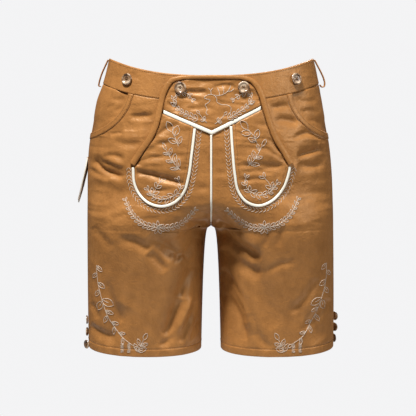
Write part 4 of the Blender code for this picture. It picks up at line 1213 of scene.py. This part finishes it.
# %% Flap binding
BINDING_RISE = 4.1
BINDING_BACK = np.array((  # across the strip, share of its full rise
    (0, 0.42), (0.06, 0.74), (0.2, 0.93), (0.5, 1), (0.8, 0.9), (0.94, 0.74), (1, 0.42)))
PUCKER_STEP = 3.4


def binding_grid(across, steps=120, top_steps=40):
    """Points of the binding: up the right edge, along the top and down the left edge."""
    lines = [[even_steps(line, steps) for line in flap_side_lines(side)] for side in SIDES]
    bend = np.linspace(-1, 1, top_steps)[1:-1, None]
    rise = np.concatenate([0 * bend, FLAP_TOP_BEND * (1 - bend ** 2)], -1)
    rows = []
    for which in (0, 1):
        start, end = lines[0][which][0], lines[1][which][0]
        top = start + (end - start) * (bend + 1) / 2 + rise
        rows.append(np.concatenate([lines[0][which][::-1], top, lines[1][which]]))
    return rows[0][:, None] * (1 - across[None, :, None]) + rows[1][:, None] * across[None, :, None]


across = finely(1, 10, 0.1)
grid = binding_grid(across)
points = front_points(grid[..., 0], grid[..., 1])
run = run_length(points[:, 0])[:, None]
rise = BINDING_RISE * np.interp(across, *BINDING_BACK.T)[None, :]
pucker = 0.12 * np.sin(run / PUCKER_STEP * 2 * np.pi) * across ** 2 + 0.2 * ripple(run, 0 * run, 26, 9, 10)
outer, inner = lifted(points, FLAP_LIFT + rise + pucker), lifted(points, FLAP_LIFT)
piece = wall("flap_binding_cloth", outer, inner, [CLOTH, REVERSE])
stand_for("flap_binding")

# %% [markdown]
# ## Cream piping
# Flat cords covered in cream cloth follow the V, both U lines and the middle seam.

# %% Piping
PIPING_LIFT = 0.7
PIPING_RISE = 2.2
STRIP_EDGE = 0.35
CENTER_RISE = 1.54
CENTER_WIDTH = 3.5
CENTER_END_HEIGHT = -246.0
V_UPRIGHT_WIDTH = 6.9
V_END_TRIM = 0.025
U_START_TRIM = 0.4


def round_strip(name, grid, rise=PIPING_RISE):
    """A strip with a rounded back: its height over the cloth is rise * (e + (1 - e) * sqrt(1 - a^4)),
    with e the share at its edges and a from -1 at one edge to 1 at the other."""
    points = front_points(grid[..., 0], grid[..., 1])
    normal = outward(points)
    back = STRIP_EDGE + (1 - STRIP_EDGE) * np.sqrt(np.clip(1 - across ** 4, 0, 1))
    level = (PIPING_LIFT + rise * back)[None, :, None]
    piece = wall(f"{name}_cord", points + normal * level, points + normal * PIPING_LIFT, [PIPING])
    stand_for(name)
    print(f"{piece.name}: {run_length(points[:, 5])[-1]:.0f} mm")


def strip_grid(line, width):
    """Points beside a line, from one edge of a strip to the other."""
    return np.stack([beside(line, offset) for offset in width / 2 * across], 1)


across = np.sin(np.linspace(-np.pi / 2, np.pi / 2, 11))
both = []
for side, sign in SIDES.items():
    edge = beside(flap_side_lines(side)[1], -SEAM * sign)
    seam = v_line(side, 0)
    both.append(between(seam, crossing(edge, seam)[1] - V_END_TRIM, 0, 50))
line = np.concatenate([both[0], both[1][-2::-1]])
upright = V_UPRIGHT_WIDTH / 2 * across
round_strip("piping_v", line[:, None] + np.stack([0 * upright, upright], -1)[None])
for side in SIDES:
    line = u_line(side, 0)
    start = crossing(v_line(side, -V_WIDTH / 2 - 2 * SEAM), line)[1]
    line = between(line, start + U_START_TRIM, len(line) - 1, 160)
    round_strip(f"piping_u_{side}", strip_grid(line, U_WIDTH))
heights = np.linspace(V_APEX[1] - V_UPRIGHT_WIDTH / 2 - 2 * SEAM, CENTER_END_HEIGHT, 90)
round_strip("piping_center", strip_grid(np.stack([0 * heights, heights], -1), CENTER_WIDTH), CENTER_RISE)

# %% [markdown]
# ## Belt loops
# A folded strip at each side of the waistband, for the braces or a belt. It bows out from the band.

# %% Belt loops
LOOP_WIDTH = 13.0
LOOP_WALL = 2.0
BELT_LOOPS = {
    "right": ((2.2, 37), (4.8, 27), (7.6, 15), (8.6, 4), (8.2, -4), (6.4, -9.5), (2.4, -10.5)),
    "left": ((2.2, 37), (5.4, 27), (9.0, 15), (11.6, 3), (11.6, -5), (8.6, -11), (4.8, -11), (2.4, -7)),
}
for side, sign in SIDES.items():
    path = smooth_line(np.array(BELT_LOOPS[side], float), 60)
    path = np.stack([sign * (section(side, path[:, 1]) + path[:, 0]), path[:, 1]], -1)
    along = unit(np.gradient(path, axis=0))
    off = np.stack([-along[:, 1], along[:, 0]], -1) * -sign
    y = LOOP_WIDTH / 2 * (2 * finely(1, 12, 0.09) - 1)
    middle = np.stack([path[:, :1] + 0 * y, 0 * path[:, :1] + y, path[:, 1:] + 0 * y], -1)
    face_off = np.stack([off[:, 0], 0 * off[:, 0], off[:, 1]], -1)[:, None]
    seam_dip = 0.35 * np.exp(-((np.abs(y) - 4.6) / 0.7) ** 2)[None, :, None]
    half = LOOP_WALL / 2 * edge_round(middle, 1.0)[..., None]
    outer, inner = middle + face_off * (half - seam_dip), middle - face_off * half
    piece = wall(f"belt_loop_{side}_cloth", outer, inner, [CLOTH])
    stand_for(f"belt_loop_{side}")

# %% [markdown]
# ## Knife pocket
# A tongue of the same cloth hangs on the right side seam, edged with the cream piping.

# %% Knife pocket
TONGUE = np.array((
    (-136, 1.8, 17), (-148, 3.0, 20), (-163, 5.6, 20.5), (-178, 9.0, 18.5), (-192, 12.3, 14.5),
    (-204, 15.4, 8.5), (-214, 17.6, 1.5),
), float)
TONGUE_WALL = 2.0
TONGUE_CURL = 1.5
TONGUE_PIPING = 2.4


def tube(path, radius, sides=8):
    """Rings of points round a path, one ring for each of its points, with a radius for each."""
    along = unit(np.gradient(path, axis=0))
    guess = np.where(np.abs(along[:, 2:]) < 0.9, (0, 0, 1.0), (0, 1.0, 0))
    first = unit(np.cross(along, guess))
    second = np.cross(along, first)
    angle = np.linspace(0, 2 * np.pi, sides + 1)[None, :, None]
    spokes = first[:, None] * np.cos(angle) + second[:, None] * np.sin(angle)
    return path[:, None] + radius[:, None, None] * spokes


height = np.linspace(TONGUE[0, 0], TONGUE[-1, 0], 60)
stand_off, half_width = [smooth_read(TONGUE[::-1, 0], TONGUE[::-1, c], height) for c in (1, 2)]
spread = (2 * finely(1, 16, 0.06) - 1)[None, :]
y = half_width[:, None] * spread
x = (-(section("right", height) + stand_off)[:, None] + TONGUE_CURL * spread ** 2
     + 0.3 * ripple(y, height[:, None], 12, 14, 11))
middle = np.stack([x, y, height[:, None] + 0 * y], -1)
half = TONGUE_WALL / 2 * edge_round(middle, 1.0)[..., None] * (1, 0, 0)
piece = wall("knife_pocket_cloth", middle - half, middle + half, [CLOTH, REVERSE])
stand_for("knife_pocket")

clear = TONGUE_PIPING / 2 + 1.3 * SEAM
edge = np.stack([middle[:, 0, 0], middle[:, 0, 1] - clear, height], -1)
tip = np.array([[edge[-1, 0] - 0.8, 0, edge[-1, 2] - 2 * clear]])
route = even_steps(np.concatenate([edge, tip, edge[::-1] * (1, -1, 1)]), 160)
rings = tube(route, TONGUE_PIPING / 2 * np.interp(np.arange(160), (0, 3, 156, 159), (0.1, 1, 1, 0.1)))
faces = grid_faces(np.arange(rings.size // 3).reshape(rings.shape[:2]))
points = rings.reshape(-1, 3)
piece = mesh_object("knife_piping_cord", points, outward_faces(points, faces), [PIPING])
stand_for("knife_piping")
print(f"{piece.name}: {run_length(route)[-1]:.0f} mm")

# %% [markdown]
# ## Buttons
# Turned buttons in a horn look: a dished middle, a round rim and four holes. The marbling is layered
# noise read at each place on the button, and the surface is polished.

# %% Horn material


def make_horn():
    """Polished horn: dark, brown and cream layers bent by noise, under a thin coat of polish."""
    material, tree, shader = new_material("marbled horn look", {
        "Roughness": 0.28, "Coat Weight": 0.4, "Coat Roughness": 0.12})
    place = node(tree, "ShaderNodeTexCoord").outputs["Object"]
    layers = node(tree, "ShaderNodeTexNoise", [("Vector", place)],
                  scale=60.0, detail=2.0, roughness=0.45, distortion=1.6)
    ramp = node(tree, "ShaderNodeValToRGB", [("Fac", layers.outputs["Fac"])])
    dark, light = ramp.color_ramp.elements
    dark.position, light.position = 0.36, 0.66
    dark.color, light.color = (0.11, 0.058, 0.032, 1), (0.66, 0.50, 0.35, 1)
    ramp.color_ramp.elements.new(0.50).color = (0.30, 0.17, 0.085, 1)
    grain = node(tree, "ShaderNodeTexNoise", [("Vector", place)], scale=1500.0, detail=2.0)
    bump = node(tree, "ShaderNodeBump", [("Height", grain.outputs["Fac"])], distance=0.00003)
    tree.links.new(ramp.outputs["Color"], shader.inputs["Base Color"])
    tree.links.new(bump.outputs["Normal"], shader.inputs["Normal"])
    return material


HORN = make_horn()

# %% Turned buttons
BIG_BUTTON = (10.3, 4.0)  # radius, thickness
SMALL_BUTTON = (8.0, 3.4)
BUTTON_GAP = 0.5
DISH = 0.62
# Share of the radius, share of the thickness: the face from the middle to the rim, and the underside.
BUTTON_FACE = np.array(((0, DISH), (0.5, DISH), (0.6, 0.66), (0.72, 0.92), (0.82, 1.0), (0.9, 0.97),
                        (0.96, 0.82), (1.0, 0.55)))
BUTTON_UNDER = np.array(((0.9, 0.3), (0.62, 0.0), (0.3, 0.0), (0.0, 0.0)))
# The four holes: distance from the middle and radius, as shares of the button's radius; depth, as a share
# of its thickness. The thread reaches a little past the middle of each hole.
HOLE_RING, HOLE_RADIUS, HOLE_DEPTH = 0.2, 0.105, 0.5
THREAD_REACH = 0.72
# Columns: x, height, stand-off, turn in degrees.
FRONT_BUTTONS = {
    "button_waist_right": (-143.8, 1.2, 0.6, 12), "button_waist_left": (145.2, 1.8, 0.6, -8),
    "button_flap_right": (-52.0, -14.0, 2.9, 40), "button_flap_left": (54.5, -13.2, 2.9, 5),
}
# Columns: side, height, y, degrees turned to the front, stand-off.
HEM_BUTTONS = (
    ("right", -431, -1, 6, 0.2), ("right", -453, -1, -4, 0.3), ("right", -473, -15, 38, 2.3),
    ("left", -427, 11, -40, 3.0), ("left", -447, 11, -38, 2.5), ("left", -467, 11, -20, 0.6),
)


def button(name, size, place, normal, turn):
    """A lathe profile carried round the button's axis; near each of four places the face sinks by
    depth * (1 - (d / r)^4), where d is the distance to the hole's middle and r its radius."""
    radius, thickness = size
    share = np.concatenate([np.linspace(0, 0.5, 22), np.linspace(0.54, 1, 16), BUTTON_UNDER[:, 0]])[:, None]
    angle = np.linspace(0, 2 * np.pi, 73)[:-1]
    x, y = share * radius * np.cos(angle), share * radius * np.sin(angle)
    level = thickness * np.interp(share, *BUTTON_FACE.T)
    under = len(BUTTON_UNDER)
    level[-under:, 0] = thickness * BUTTON_UNDER[:, 1]
    z = level + 0 * angle
    for quarter in np.pi * np.array((0.25, 0.75, 1.25, 1.75)):
        hole = HOLE_RING * radius * np.array((math.cos(quarter), math.sin(quarter)))
        d = np.hypot(x - hole[0], y - hole[1]) / (HOLE_RADIUS * radius)
        z[:-under] -= (HOLE_DEPTH * thickness * np.clip(1 - d ** 4, 0, 1))[:-under]
    normal = unit(np.asarray(normal, float))
    side = unit(np.cross((0, 0, 1.0), normal))
    up = np.cross(normal, side)
    c, s = math.cos(math.radians(turn)), math.sin(math.radians(turn))
    side, up = c * side + s * up, c * up - s * side
    points = (place + x[..., None] * side + y[..., None] * up + z[..., None] * normal).reshape(-1, 3)
    faces = grid_faces(closed(np.arange(x.size).reshape(x.shape)))
    piece = mesh_object(f"{name}_horn", points, outward_faces(points, faces), [HORN])
    stand_for(name)
    # Two bows of thread cross the dish, the second a little over the first.
    bow = np.linspace(-1, 1, 9)[:, None] * THREAD_REACH * HOLE_RING * radius
    height = np.sin(np.pi * np.linspace(0, 1, 9)[:, None]) ** 0.5
    for across, over in ((1, 0.0), (-1, 0.25)):
        lift = DISH * thickness - 0.9 + 1.3 * height + over
        THREAD_RUNS.append(place + bow * side + across * bow * up + lift * normal)


THREAD_RUNS = []
for name, (x, height, stand_off, turn) in FRONT_BUTTONS.items():
    point = front_points(np.array(x), np.array(height))
    normal = outward(point)
    button(name, BIG_BUTTON, point + normal * (stand_off + BUTTON_GAP), normal, turn)
counts = {"right": 0, "left": 0}
for side, height, y, degrees, stand_off in HEM_BUTTONS:
    sign = SIDES[side]
    face = "front" if y < 0 else "back"
    centre, radius = ring(sign, np.array(float(height)))
    edge = centre + radius * oval(y / section(face, height), section("squareness", height))
    angle = math.radians(degrees)
    normal = np.array([sign * math.cos(angle), -math.sin(angle), 0])
    place = np.array([sign * float(edge), y, height]) + normal * (stand_off + BUTTON_GAP)
    counts[side] += 1
    button(f"button_hem_{side}_{counts[side]}", SMALL_BUTTON, place, normal, 17 * height)

# %% [markdown]
# ## Threads
# Embroidery and sewing are real threads here: thin closed tubes that lie on the cloth they are sewn to.
# One mesh holds all threads of one kind, so the file stays light and each kind has one finish.

# %% Tubes of thread


def thread_mesh(name, runs, radius, material, sides=6):
    """All runs as closed tubes in one mesh; the UV map holds the length run and the way round."""
    points, faces, uvs = [], [], []
    count = 0
    for run in runs:
        size = radius * np.interp(np.arange(len(run)), (0, 1, len(run) - 2, len(run) - 1), (0.2, 1, 1, 0.2))
        points.append(tube(run, size, sides)[:, :-1].reshape(-1, 3))
        index = count + np.arange(len(run) * sides).reshape(-1, sides)
        faces.append(grid_faces(closed(index).T))
        along, round_share = np.meshgrid(run_length(run) * MM, np.arange(sides) / sides, indexing="ij")
        uvs.append(np.stack([along.ravel(), round_share.ravel()], -1))
        count += index.size
    points = np.concatenate(points)
    faces = outward_faces(points, np.concatenate(faces))
    piece = mesh_object(name, points, faces, [material], uv=np.concatenate(uvs))
    print(f"{name}: {len(runs)} runs, {len(faces)} faces")


def on_leg(line, lift):
    """Points of a line of (x, height) places on the leg fronts, lifted off the creased cloth."""
    points = front_points(line[:, 0], line[:, 1])
    return lifted(points, leg_level(points, "front") + lift)


def on_flap(line, lift):
    """The same on the flap."""
    points = front_points(line[:, 0], line[:, 1])
    return lifted(points, flap_level(points) + lift)


thread_mesh("button_threads", THREAD_RUNS, 0.45, SEWING)

# %% [markdown]
# ## Line embroidery
# The motifs are the usual ones of alpine folk dress: laurel garlands, leaf sprigs, wreaths and a stag,
# worked as outlines in one pale thread. Each is built from two shapes, a leaf and a stem, set along a
# line; the layout here is the maker's own.

# %% Leaves and stems
STEM_STEP = 1.6
SPRIG_LEAN = 0.8
GARLAND_POINTS = 200
GARLAND_MARGIN = 4
GARLAND_SHRINK = 0.45


def leaf(root, angle, length, width, count=9):
    """Outline of a pointed leaf: both sides bulge by width * sin(pi s) ^ 0.8 over its length, and it
    starts and ends at its root."""
    s = np.concatenate([np.linspace(0, 1, count), np.linspace(1, 0, count)[1:]])
    bulge = width / 2 * np.sin(np.pi * s) ** 0.8 * np.where(np.arange(len(s)) < count, 1, -1)
    c, d = math.cos(angle), math.sin(angle)
    return np.stack([root[0] + length * s * c - bulge * d, root[1] + length * s * d + bulge * c], -1)


def heading(line):
    """The direction of a line at each of its points, as an angle."""
    run = np.gradient(line, axis=0)
    return np.arctan2(run[:, 1], run[:, 0])


def garland(line, step, size, lean, width):
    """A stem with pairs of leaves: every step along the line one leaf leans to each side, and they
    grow smaller towards the end. Returns the runs of thread."""
    line = smooth_line(line, GARLAND_POINTS)
    length = run_length(line)[-1]
    count = max(int(length / step), 2)
    at = np.linspace(GARLAND_MARGIN, GARLAND_POINTS - GARLAND_MARGIN - 1, count).astype(int)
    angle = heading(line)
    runs = [even_steps(line, max(int(length / STEM_STEP), 6))]
    for number, k in enumerate(at):
        scale = size * (1 - GARLAND_SHRINK * number / count)
        for turn in (lean, -lean):
            runs.append(leaf(line[k], angle[k] + turn, scale, scale * width))
    return runs


def sprig(line, leaves, tip):
    """A stem with single leaves at given shares of its length. Columns: share, side, length, width."""
    line = smooth_line(line, 100)
    angle = heading(line)
    runs = [even_steps(line, 24)]
    for share, side, length, width in leaves:
        k = int(share * 99)
        runs.append(leaf(line[k], angle[k] + side * SPRIG_LEAN, length, width))
        vein = leaf(line[k], angle[k] + side * SPRIG_LEAN, length * 0.6, 0.2)[:9]
        runs.append(vein)
    runs.append(leaf(line[-1], angle[-1], *tip))
    return runs


print("a leaf has", len(leaf((0, 0), 0, 10, 4)), "points")

# %% Garlands, sprigs and wreaths
leg_runs, flap_runs = [], []
# Columns: places of (x, height) from the bow to a garland's end.
GARLANDS = {
    "right": (((-91, -252), (-114, -246), (-134, -230), (-147, -205)),
              ((-91, -252), (-70, -250), (-46, -240), (-27, -221))),
    "left": (((91, -252), (112, -247), (134, -231), (149, -204)),
             ((91, -252), (70, -251), (48, -240), (28, -222))),
}
BOW_LEAVES = ((1.57, 13), (2.3, 9), (0.85, 9), (-1.1, 12), (-2.05, 12))
for side, halves in GARLANDS.items():
    for half in halves:
        leg_runs += garland(half, 7.6, 11.0, 0.62, 0.40)
    for angle, length in BOW_LEAVES:
        leg_runs.append(leaf(halves[0][0], angle, length, 4.6))

# Columns: places along the stem; leaves as share, side, length and width; the tip leaf.
SPRIGS = (
    (((-55, -113), (-60, -100), (-66, -88)),
     ((0.15, -1, 15, 7), (0.25, 1, 17, 9), (0.7, -1, 19, 11)), (19, 11)),
    (((-52, -153), (-62, -142), (-70, -130), (-76, -119)),
     ((0.1, 1, 15, 5), (0.12, -1, 17, 6), (0.4, -1, 16, 7), (0.45, 1, 13, 5), (0.75, -1, 14, 6),
      (0.8, 1, 10, 4)), (14, 5)),
    (((78, -108), (72, -96), (62, -84)),
     ((0.15, 1, 15, 7), (0.3, -1, 17, 9), (0.7, 1, 18, 10)), (19, 10)),
    (((62, -146), (72, -136), (80, -124), (86, -113)),
     ((0.1, 1, 16, 6), (0.12, -1, 18, 6), (0.4, 1, 15, 7), (0.45, -1, 13, 5), (0.78, 1, 13, 5)), (14, 6)),
    (((-7, -73), (-14, -66), (-20, -58)), ((0.3, 1, 7, 4), (0.3, -1, 7, 4)), (7, 4)),
    (((6, -75), (14, -69), (22, -60)), ((0.3, 1, 7, 4), (0.3, -1, 7, 4)), (7, 4)),
)
for line, leaves, tip in SPRIGS:
    flap_runs += sprig(line, leaves, tip)

# Columns: places along a wreath's arc; leaf spacing, leaf length.
WREATHS = (
    (((-62, -196), (-80, -203), (-98, -199), (-108, -186)), 8.5, 12),
    (((-62, -196), (-55, -190), (-52, -180), (-56, -170)), 8.5, 11),
    (((-100, -196), (-92, -182), (-86, -172)), 8.5, 13),
    (((66, -190), (84, -196), (100, -190), (112, -176)), 8.5, 12),
    (((66, -190), (60, -182), (57, -173), (59, -165)), 8.5, 11),
    (((103, -186), (97, -174), (90, -166)), 8.5, 13),
    (((-22, -68), (-38, -60), (-52, -53), (-61, -44)), 7.0, 10),
    (((-61, -44), (-64, -36), (-60, -27), (-50, -21)), 7.0, 9),
    (((-50, -21), (-40, -24), (-32, -33)), 7.0, 9),
    (((27, -66), (42, -58), (54, -50), (65, -41)), 7.0, 10),
    (((65, -41), (69, -33), (66, -26), (58, -21)), 7.0, 9),
    (((58, -21), (47, -27), (38, -33)), 7.0, 9),
)
for arc, step, size in WREATHS:
    flap_runs += garland(arc, step, size, 0.6, 0.42)

# %% [markdown]
# The stag between the wreaths is a plain outline of the maker's own: head up, antlers laid back, one
# chest line and a back line, in a few bent runs.

# %% Stag
STAG = (
    ((-9, -57), (-7, -49), (-10, -43), (-4, -38), (-2, -34), (-8, -33), (-12, -31), (-8, -27),
     (0, -25), (4, -26)),
    ((4, -26), (9, -31), (10, -38), (17, -42), (27, -43), (33, -47), (33, -55)),
    ((4, -26), (12, -27), (22, -24), (30, -17), (33, -10)), ((14, -27), (13, -19), (10, -13)),
    ((21, -24), (21, -16), (19, -10)), ((27, -20), (34, -19), (39, -15)),
    ((0, -25), (-1, -19), (-5, -14)), ((-1, -19), (3, -14)), ((-9, -57), (-5, -60)), ((33, -55), (29, -58)),
)
for run in STAG:
    flap_runs.append(smooth_line(run, 6 * len(run)) if len(run) > 2 else even_steps(np.array(run, float), 6))

# %% Herringbone beside the U piping
HERRINGBONE_STEP = 6.2
HERRINGBONE_HALF = 4.3
HERRINGBONE_GAP = 1.6
for side, sign in SIDES.items():
    line = smooth_line(u_line(side, -(U_WIDTH / 2 + HERRINGBONE_GAP + HERRINGBONE_HALF)), 400)[14:]
    line = even_steps(line, int(run_length(line)[-1] / HERRINGBONE_STEP))
    inner, outer = beside(line, HERRINGBONE_HALF), beside(line, -HERRINGBONE_HALF)
    for k in range(1, len(line)):
        for edge in (inner, outer):
            middle = 0.5 * (line[k] + edge[k - 1]) + 0.2 * (line[k] - line[k - 1])
            leg_runs.append(smooth_line((line[k], middle, edge[k - 1]), 5))

# %% Vines down to the hems
# Columns: places along the vine; share, side, length and width of its leaves.
VINES = {
    "right": (((-201, -322), (-199, -352), (-190, -388), (-176, -424), (-158, -446), (-134, -464)),
              ((0.02, 1, 14, 7), (0.1, -1, 13, 6), (0.2, 1, 15, 8), (0.28, -1, 14, 7), (0.38, 1, 22, 13),
               (0.40, -1, 20, 11), (0.5, 1, 15, 6), (0.56, -1, 15, 6), (0.64, 1, 14, 6), (0.7, -1, 14, 6),
               (0.78, 1, 13, 5), (0.84, -1, 13, 5))),
    "left": (((203, -318), (202, -348), (193, -384), (180, -420), (163, -444), (142, -460)),
             ((0.02, -1, 14, 7), (0.1, 1, 13, 6), (0.2, -1, 15, 8), (0.28, 1, 14, 7), (0.4, -1, 22, 12),
              (0.42, 1, 20, 11), (0.5, -1, 15, 6), (0.58, 1, 15, 6), (0.66, -1, 14, 6), (0.72, 1, 14, 6),
              (0.8, -1, 13, 5), (0.88, 1, 13, 5))),
}
BLOCK_ROWS, BLOCK_STEP, BLOCK_HALF = 8, 2.1, 3.2
for side, (line, leaves) in VINES.items():
    sign = SIDES[side]
    leg_runs += sprig(line, leaves, (10, 5))
    for block in (156, 144):
        for k in range(BLOCK_ROWS):
            z = -459 - k * BLOCK_STEP
            ends = ((sign * (block - BLOCK_HALF), z), (sign * (block + BLOCK_HALF), z - 1.2))
            leg_runs.append(even_steps(np.array(ends), 5))
    leg_runs += sprig(((sign * 128, -474), (sign * 124, -464), (sign * 118, -452)),
                      ((0.05, 1, 16, 7), (0.05, -1, 16, 7), (0.5, 1, 14, 6), (0.5, -1, 14, 6)), (14, 7))

THREAD_LIFT = 0.2
EMBROIDERY_RADIUS = 0.5
thread_mesh("leg_embroidery", [on_leg(run, THREAD_LIFT) for run in leg_runs],
            EMBROIDERY_RADIUS, EMBROIDERY)
thread_mesh("flap_embroidery", [on_flap(run, THREAD_LIFT) for run in flap_runs],
            EMBROIDERY_RADIUS, EMBROIDERY)

# %% [markdown]
# ## Sewing
# The seams are topstitched in a thread a little darker than the cloth. Each stitch is a short tube that
# dives into the cloth at both ends.

# %% Stitches
STITCH = 2.7
STITCH_STEP = 3.5
STITCH_RADIUS = 0.34
# Share of a stitch's length, height over the line.
STITCH_PATH = np.array(((0, -0.35), (0.25, 0.1), (0.75, 0.1), (1, -0.35)))


def stitches(line):
    """Cut a line of lifted points into stitches: each lies on the line and dips at its ends."""
    run = run_length(line)
    normal = outward(line)
    runs = []
    for start in np.arange(0, run[-1] - STITCH, STITCH_STEP):
        at = start + STITCH * STITCH_PATH[:, 0]
        place = np.stack([np.interp(at, run, column) for column in line.T], -1)
        off = np.stack([np.interp(at, run, column) for column in normal.T], -1)
        runs.append(place + off * STITCH_PATH[:, 1:])
    return runs


STITCH_LIFT = 0.1
BAND_LOW, BAND_HIGH = 2.4, 3.0  # how far in the waistband's two rows of stitches lie
POCKET_STITCH_LIFT = 1.05
sewn = []
turn = np.linspace(0.004, 0.996, 260)
for sign in SIDES.values():
    for face in ("front", "back"):
        hem = round_points(sign, face, turn, hem_line(turn) + HEM_WIDTH)
        sewn += stitches(lifted(hem, leg_level(hem, face) + STITCH_LIFT))
        low_turn = np.linspace(0.58 if face == "front" else 0.004, 0.99, 200)
        low = round_points(sign, face, low_turn, seam_height(face, low_turn * 90) + BAND_LOW)
        high = round_points(sign, face, turn, waist_height(face, turn * 90) - BAND_HIGH)
        for line in (low, high):
            sewn += stitches(lifted(line, waistband_level(line, face) + STITCH_LIFT))
    for turn_share, drop_share in ((0.3, 0.25), (0.85, 0.85)):
        edge = pocket_edge(POCKET_TURN + POCKET_BAND_TURN * turn_share,
                           POCKET_DROP + POCKET_BAND_DROP * drop_share, np.linspace(0.01, 0.985, 90))
        sewn += stitches(lifted(round_points(sign, "front", *edge), POCKET_STITCH_LIFT))
for side, sign in SIDES.items():
    inner = even_steps(beside(flap_side_lines(side)[1], -(2 * SEAM + 1.5) * sign), 200)
    sewn += stitches(on_flap(inner, 0.15))
    sewn += stitches(on_flap(even_steps(u_line(side, U_WIDTH / 2 + TURNED_EDGE), 300), STITCH_LIFT))
thread_mesh("topstitching", sewn, STITCH_RADIUS, SEWING, sides=5)

# %% [markdown]
# ## Floor, light and camera
# A pale round floor and soft studio light. Past the floor the eye meets a plain pale surround, so that
# the garment can be looked at from all sides. The surround is pale to the eye alone and gives little
# light, or it would wash the folds out.

# %% Floor
FLOOR_HEIGHT = -0.95
FLOOR_RADIUS = 1.25
FLOOR_POINTS = 128


def in_scene(name, data, place=(0, 0, 0), aim=None):
    """Set a light, a camera or a mesh in the scene, turned to face a point if one is given."""
    made = bpy.data.objects.new(name, data)
    made.location = place
    if aim is not None:
        made.rotation_euler = (Vector(aim) - Vector(place)).to_track_quat("-Z", "Y").to_euler()
    bpy.context.scene.collection.objects.link(made)
    return made


angle = np.linspace(0, 2 * np.pi, FLOOR_POINTS, endpoint=False)
rim = np.stack([FLOOR_RADIUS * np.cos(angle), FLOOR_RADIUS * np.sin(angle), FLOOR_HEIGHT + 0 * angle], -1)
disc = bpy.data.meshes.new("floor")
disc.from_pydata(rim.tolist(), [], [list(range(FLOOR_POINTS))])
disc.materials.append(new_material("pale paper", {"Base Color": (0.5, 0.5, 0.5, 1), "Roughness": 0.9})[0])
in_scene("floor", disc)
print("floor, m across:", 2 * FLOOR_RADIUS)

# %% Lights
# Columns: name, place, point it faces, size, power.
LIGHTS = (
    ("key", (-0.8, -1.35, 3.0), (0, 0, -0.25), 0.5, 212),
    ("fill", (2.4, -1.6, 0.9), (0, 0, -0.3), 0.8, 28),
    ("back light", (0.9, 2.2, 1.9), (0, 0, -0.25), 1.2, 70),
)
SURROUND_LIGHT, SURROUND_SEEN = 0.07, 0.91
for name, place, aim, size, power in LIGHTS:
    light = bpy.data.lights.new(name, "AREA")
    light.size, light.energy = size, power
    in_scene(name, light, place, aim)
world = bpy.data.worlds.new("studio")
world.use_nodes = True
surround = world.node_tree
background = surround.nodes["Background"]
give(background, {"Color": (0.99, 0.99, 1.0, 1)})
seen = node(surround, "ShaderNodeLightPath").outputs["Is Camera Ray"]
strength = node(surround, "ShaderNodeMix", [("Factor", seen)], A=SURROUND_LIGHT, B=SURROUND_SEEN)
surround.links.new(strength.outputs["Result"], background.inputs["Strength"])
bpy.context.scene.world = world
bpy.context.scene.view_settings.view_transform = "Standard"
print("lights:", ", ".join(row[0] for row in LIGHTS))

# %% Camera
CAMERA_PLACE = Vector((-0.0054, -2.2, -0.03))
CAMERA_AIM = Vector((-0.0054, 0, -0.228))
PIXEL = 0.0018
PICTURE_WIDTH = 416
SENSOR = 36
camera = bpy.data.cameras.new("camera")
camera.sensor_width = SENSOR
camera.lens = SENSOR / (PICTURE_WIDTH * PIXEL / (CAMERA_AIM - CAMERA_PLACE).length)
bpy.context.scene.camera = in_scene("camera", camera, CAMERA_PLACE, CAMERA_AIM)
print("lens, mm:", round(camera.lens, 1))
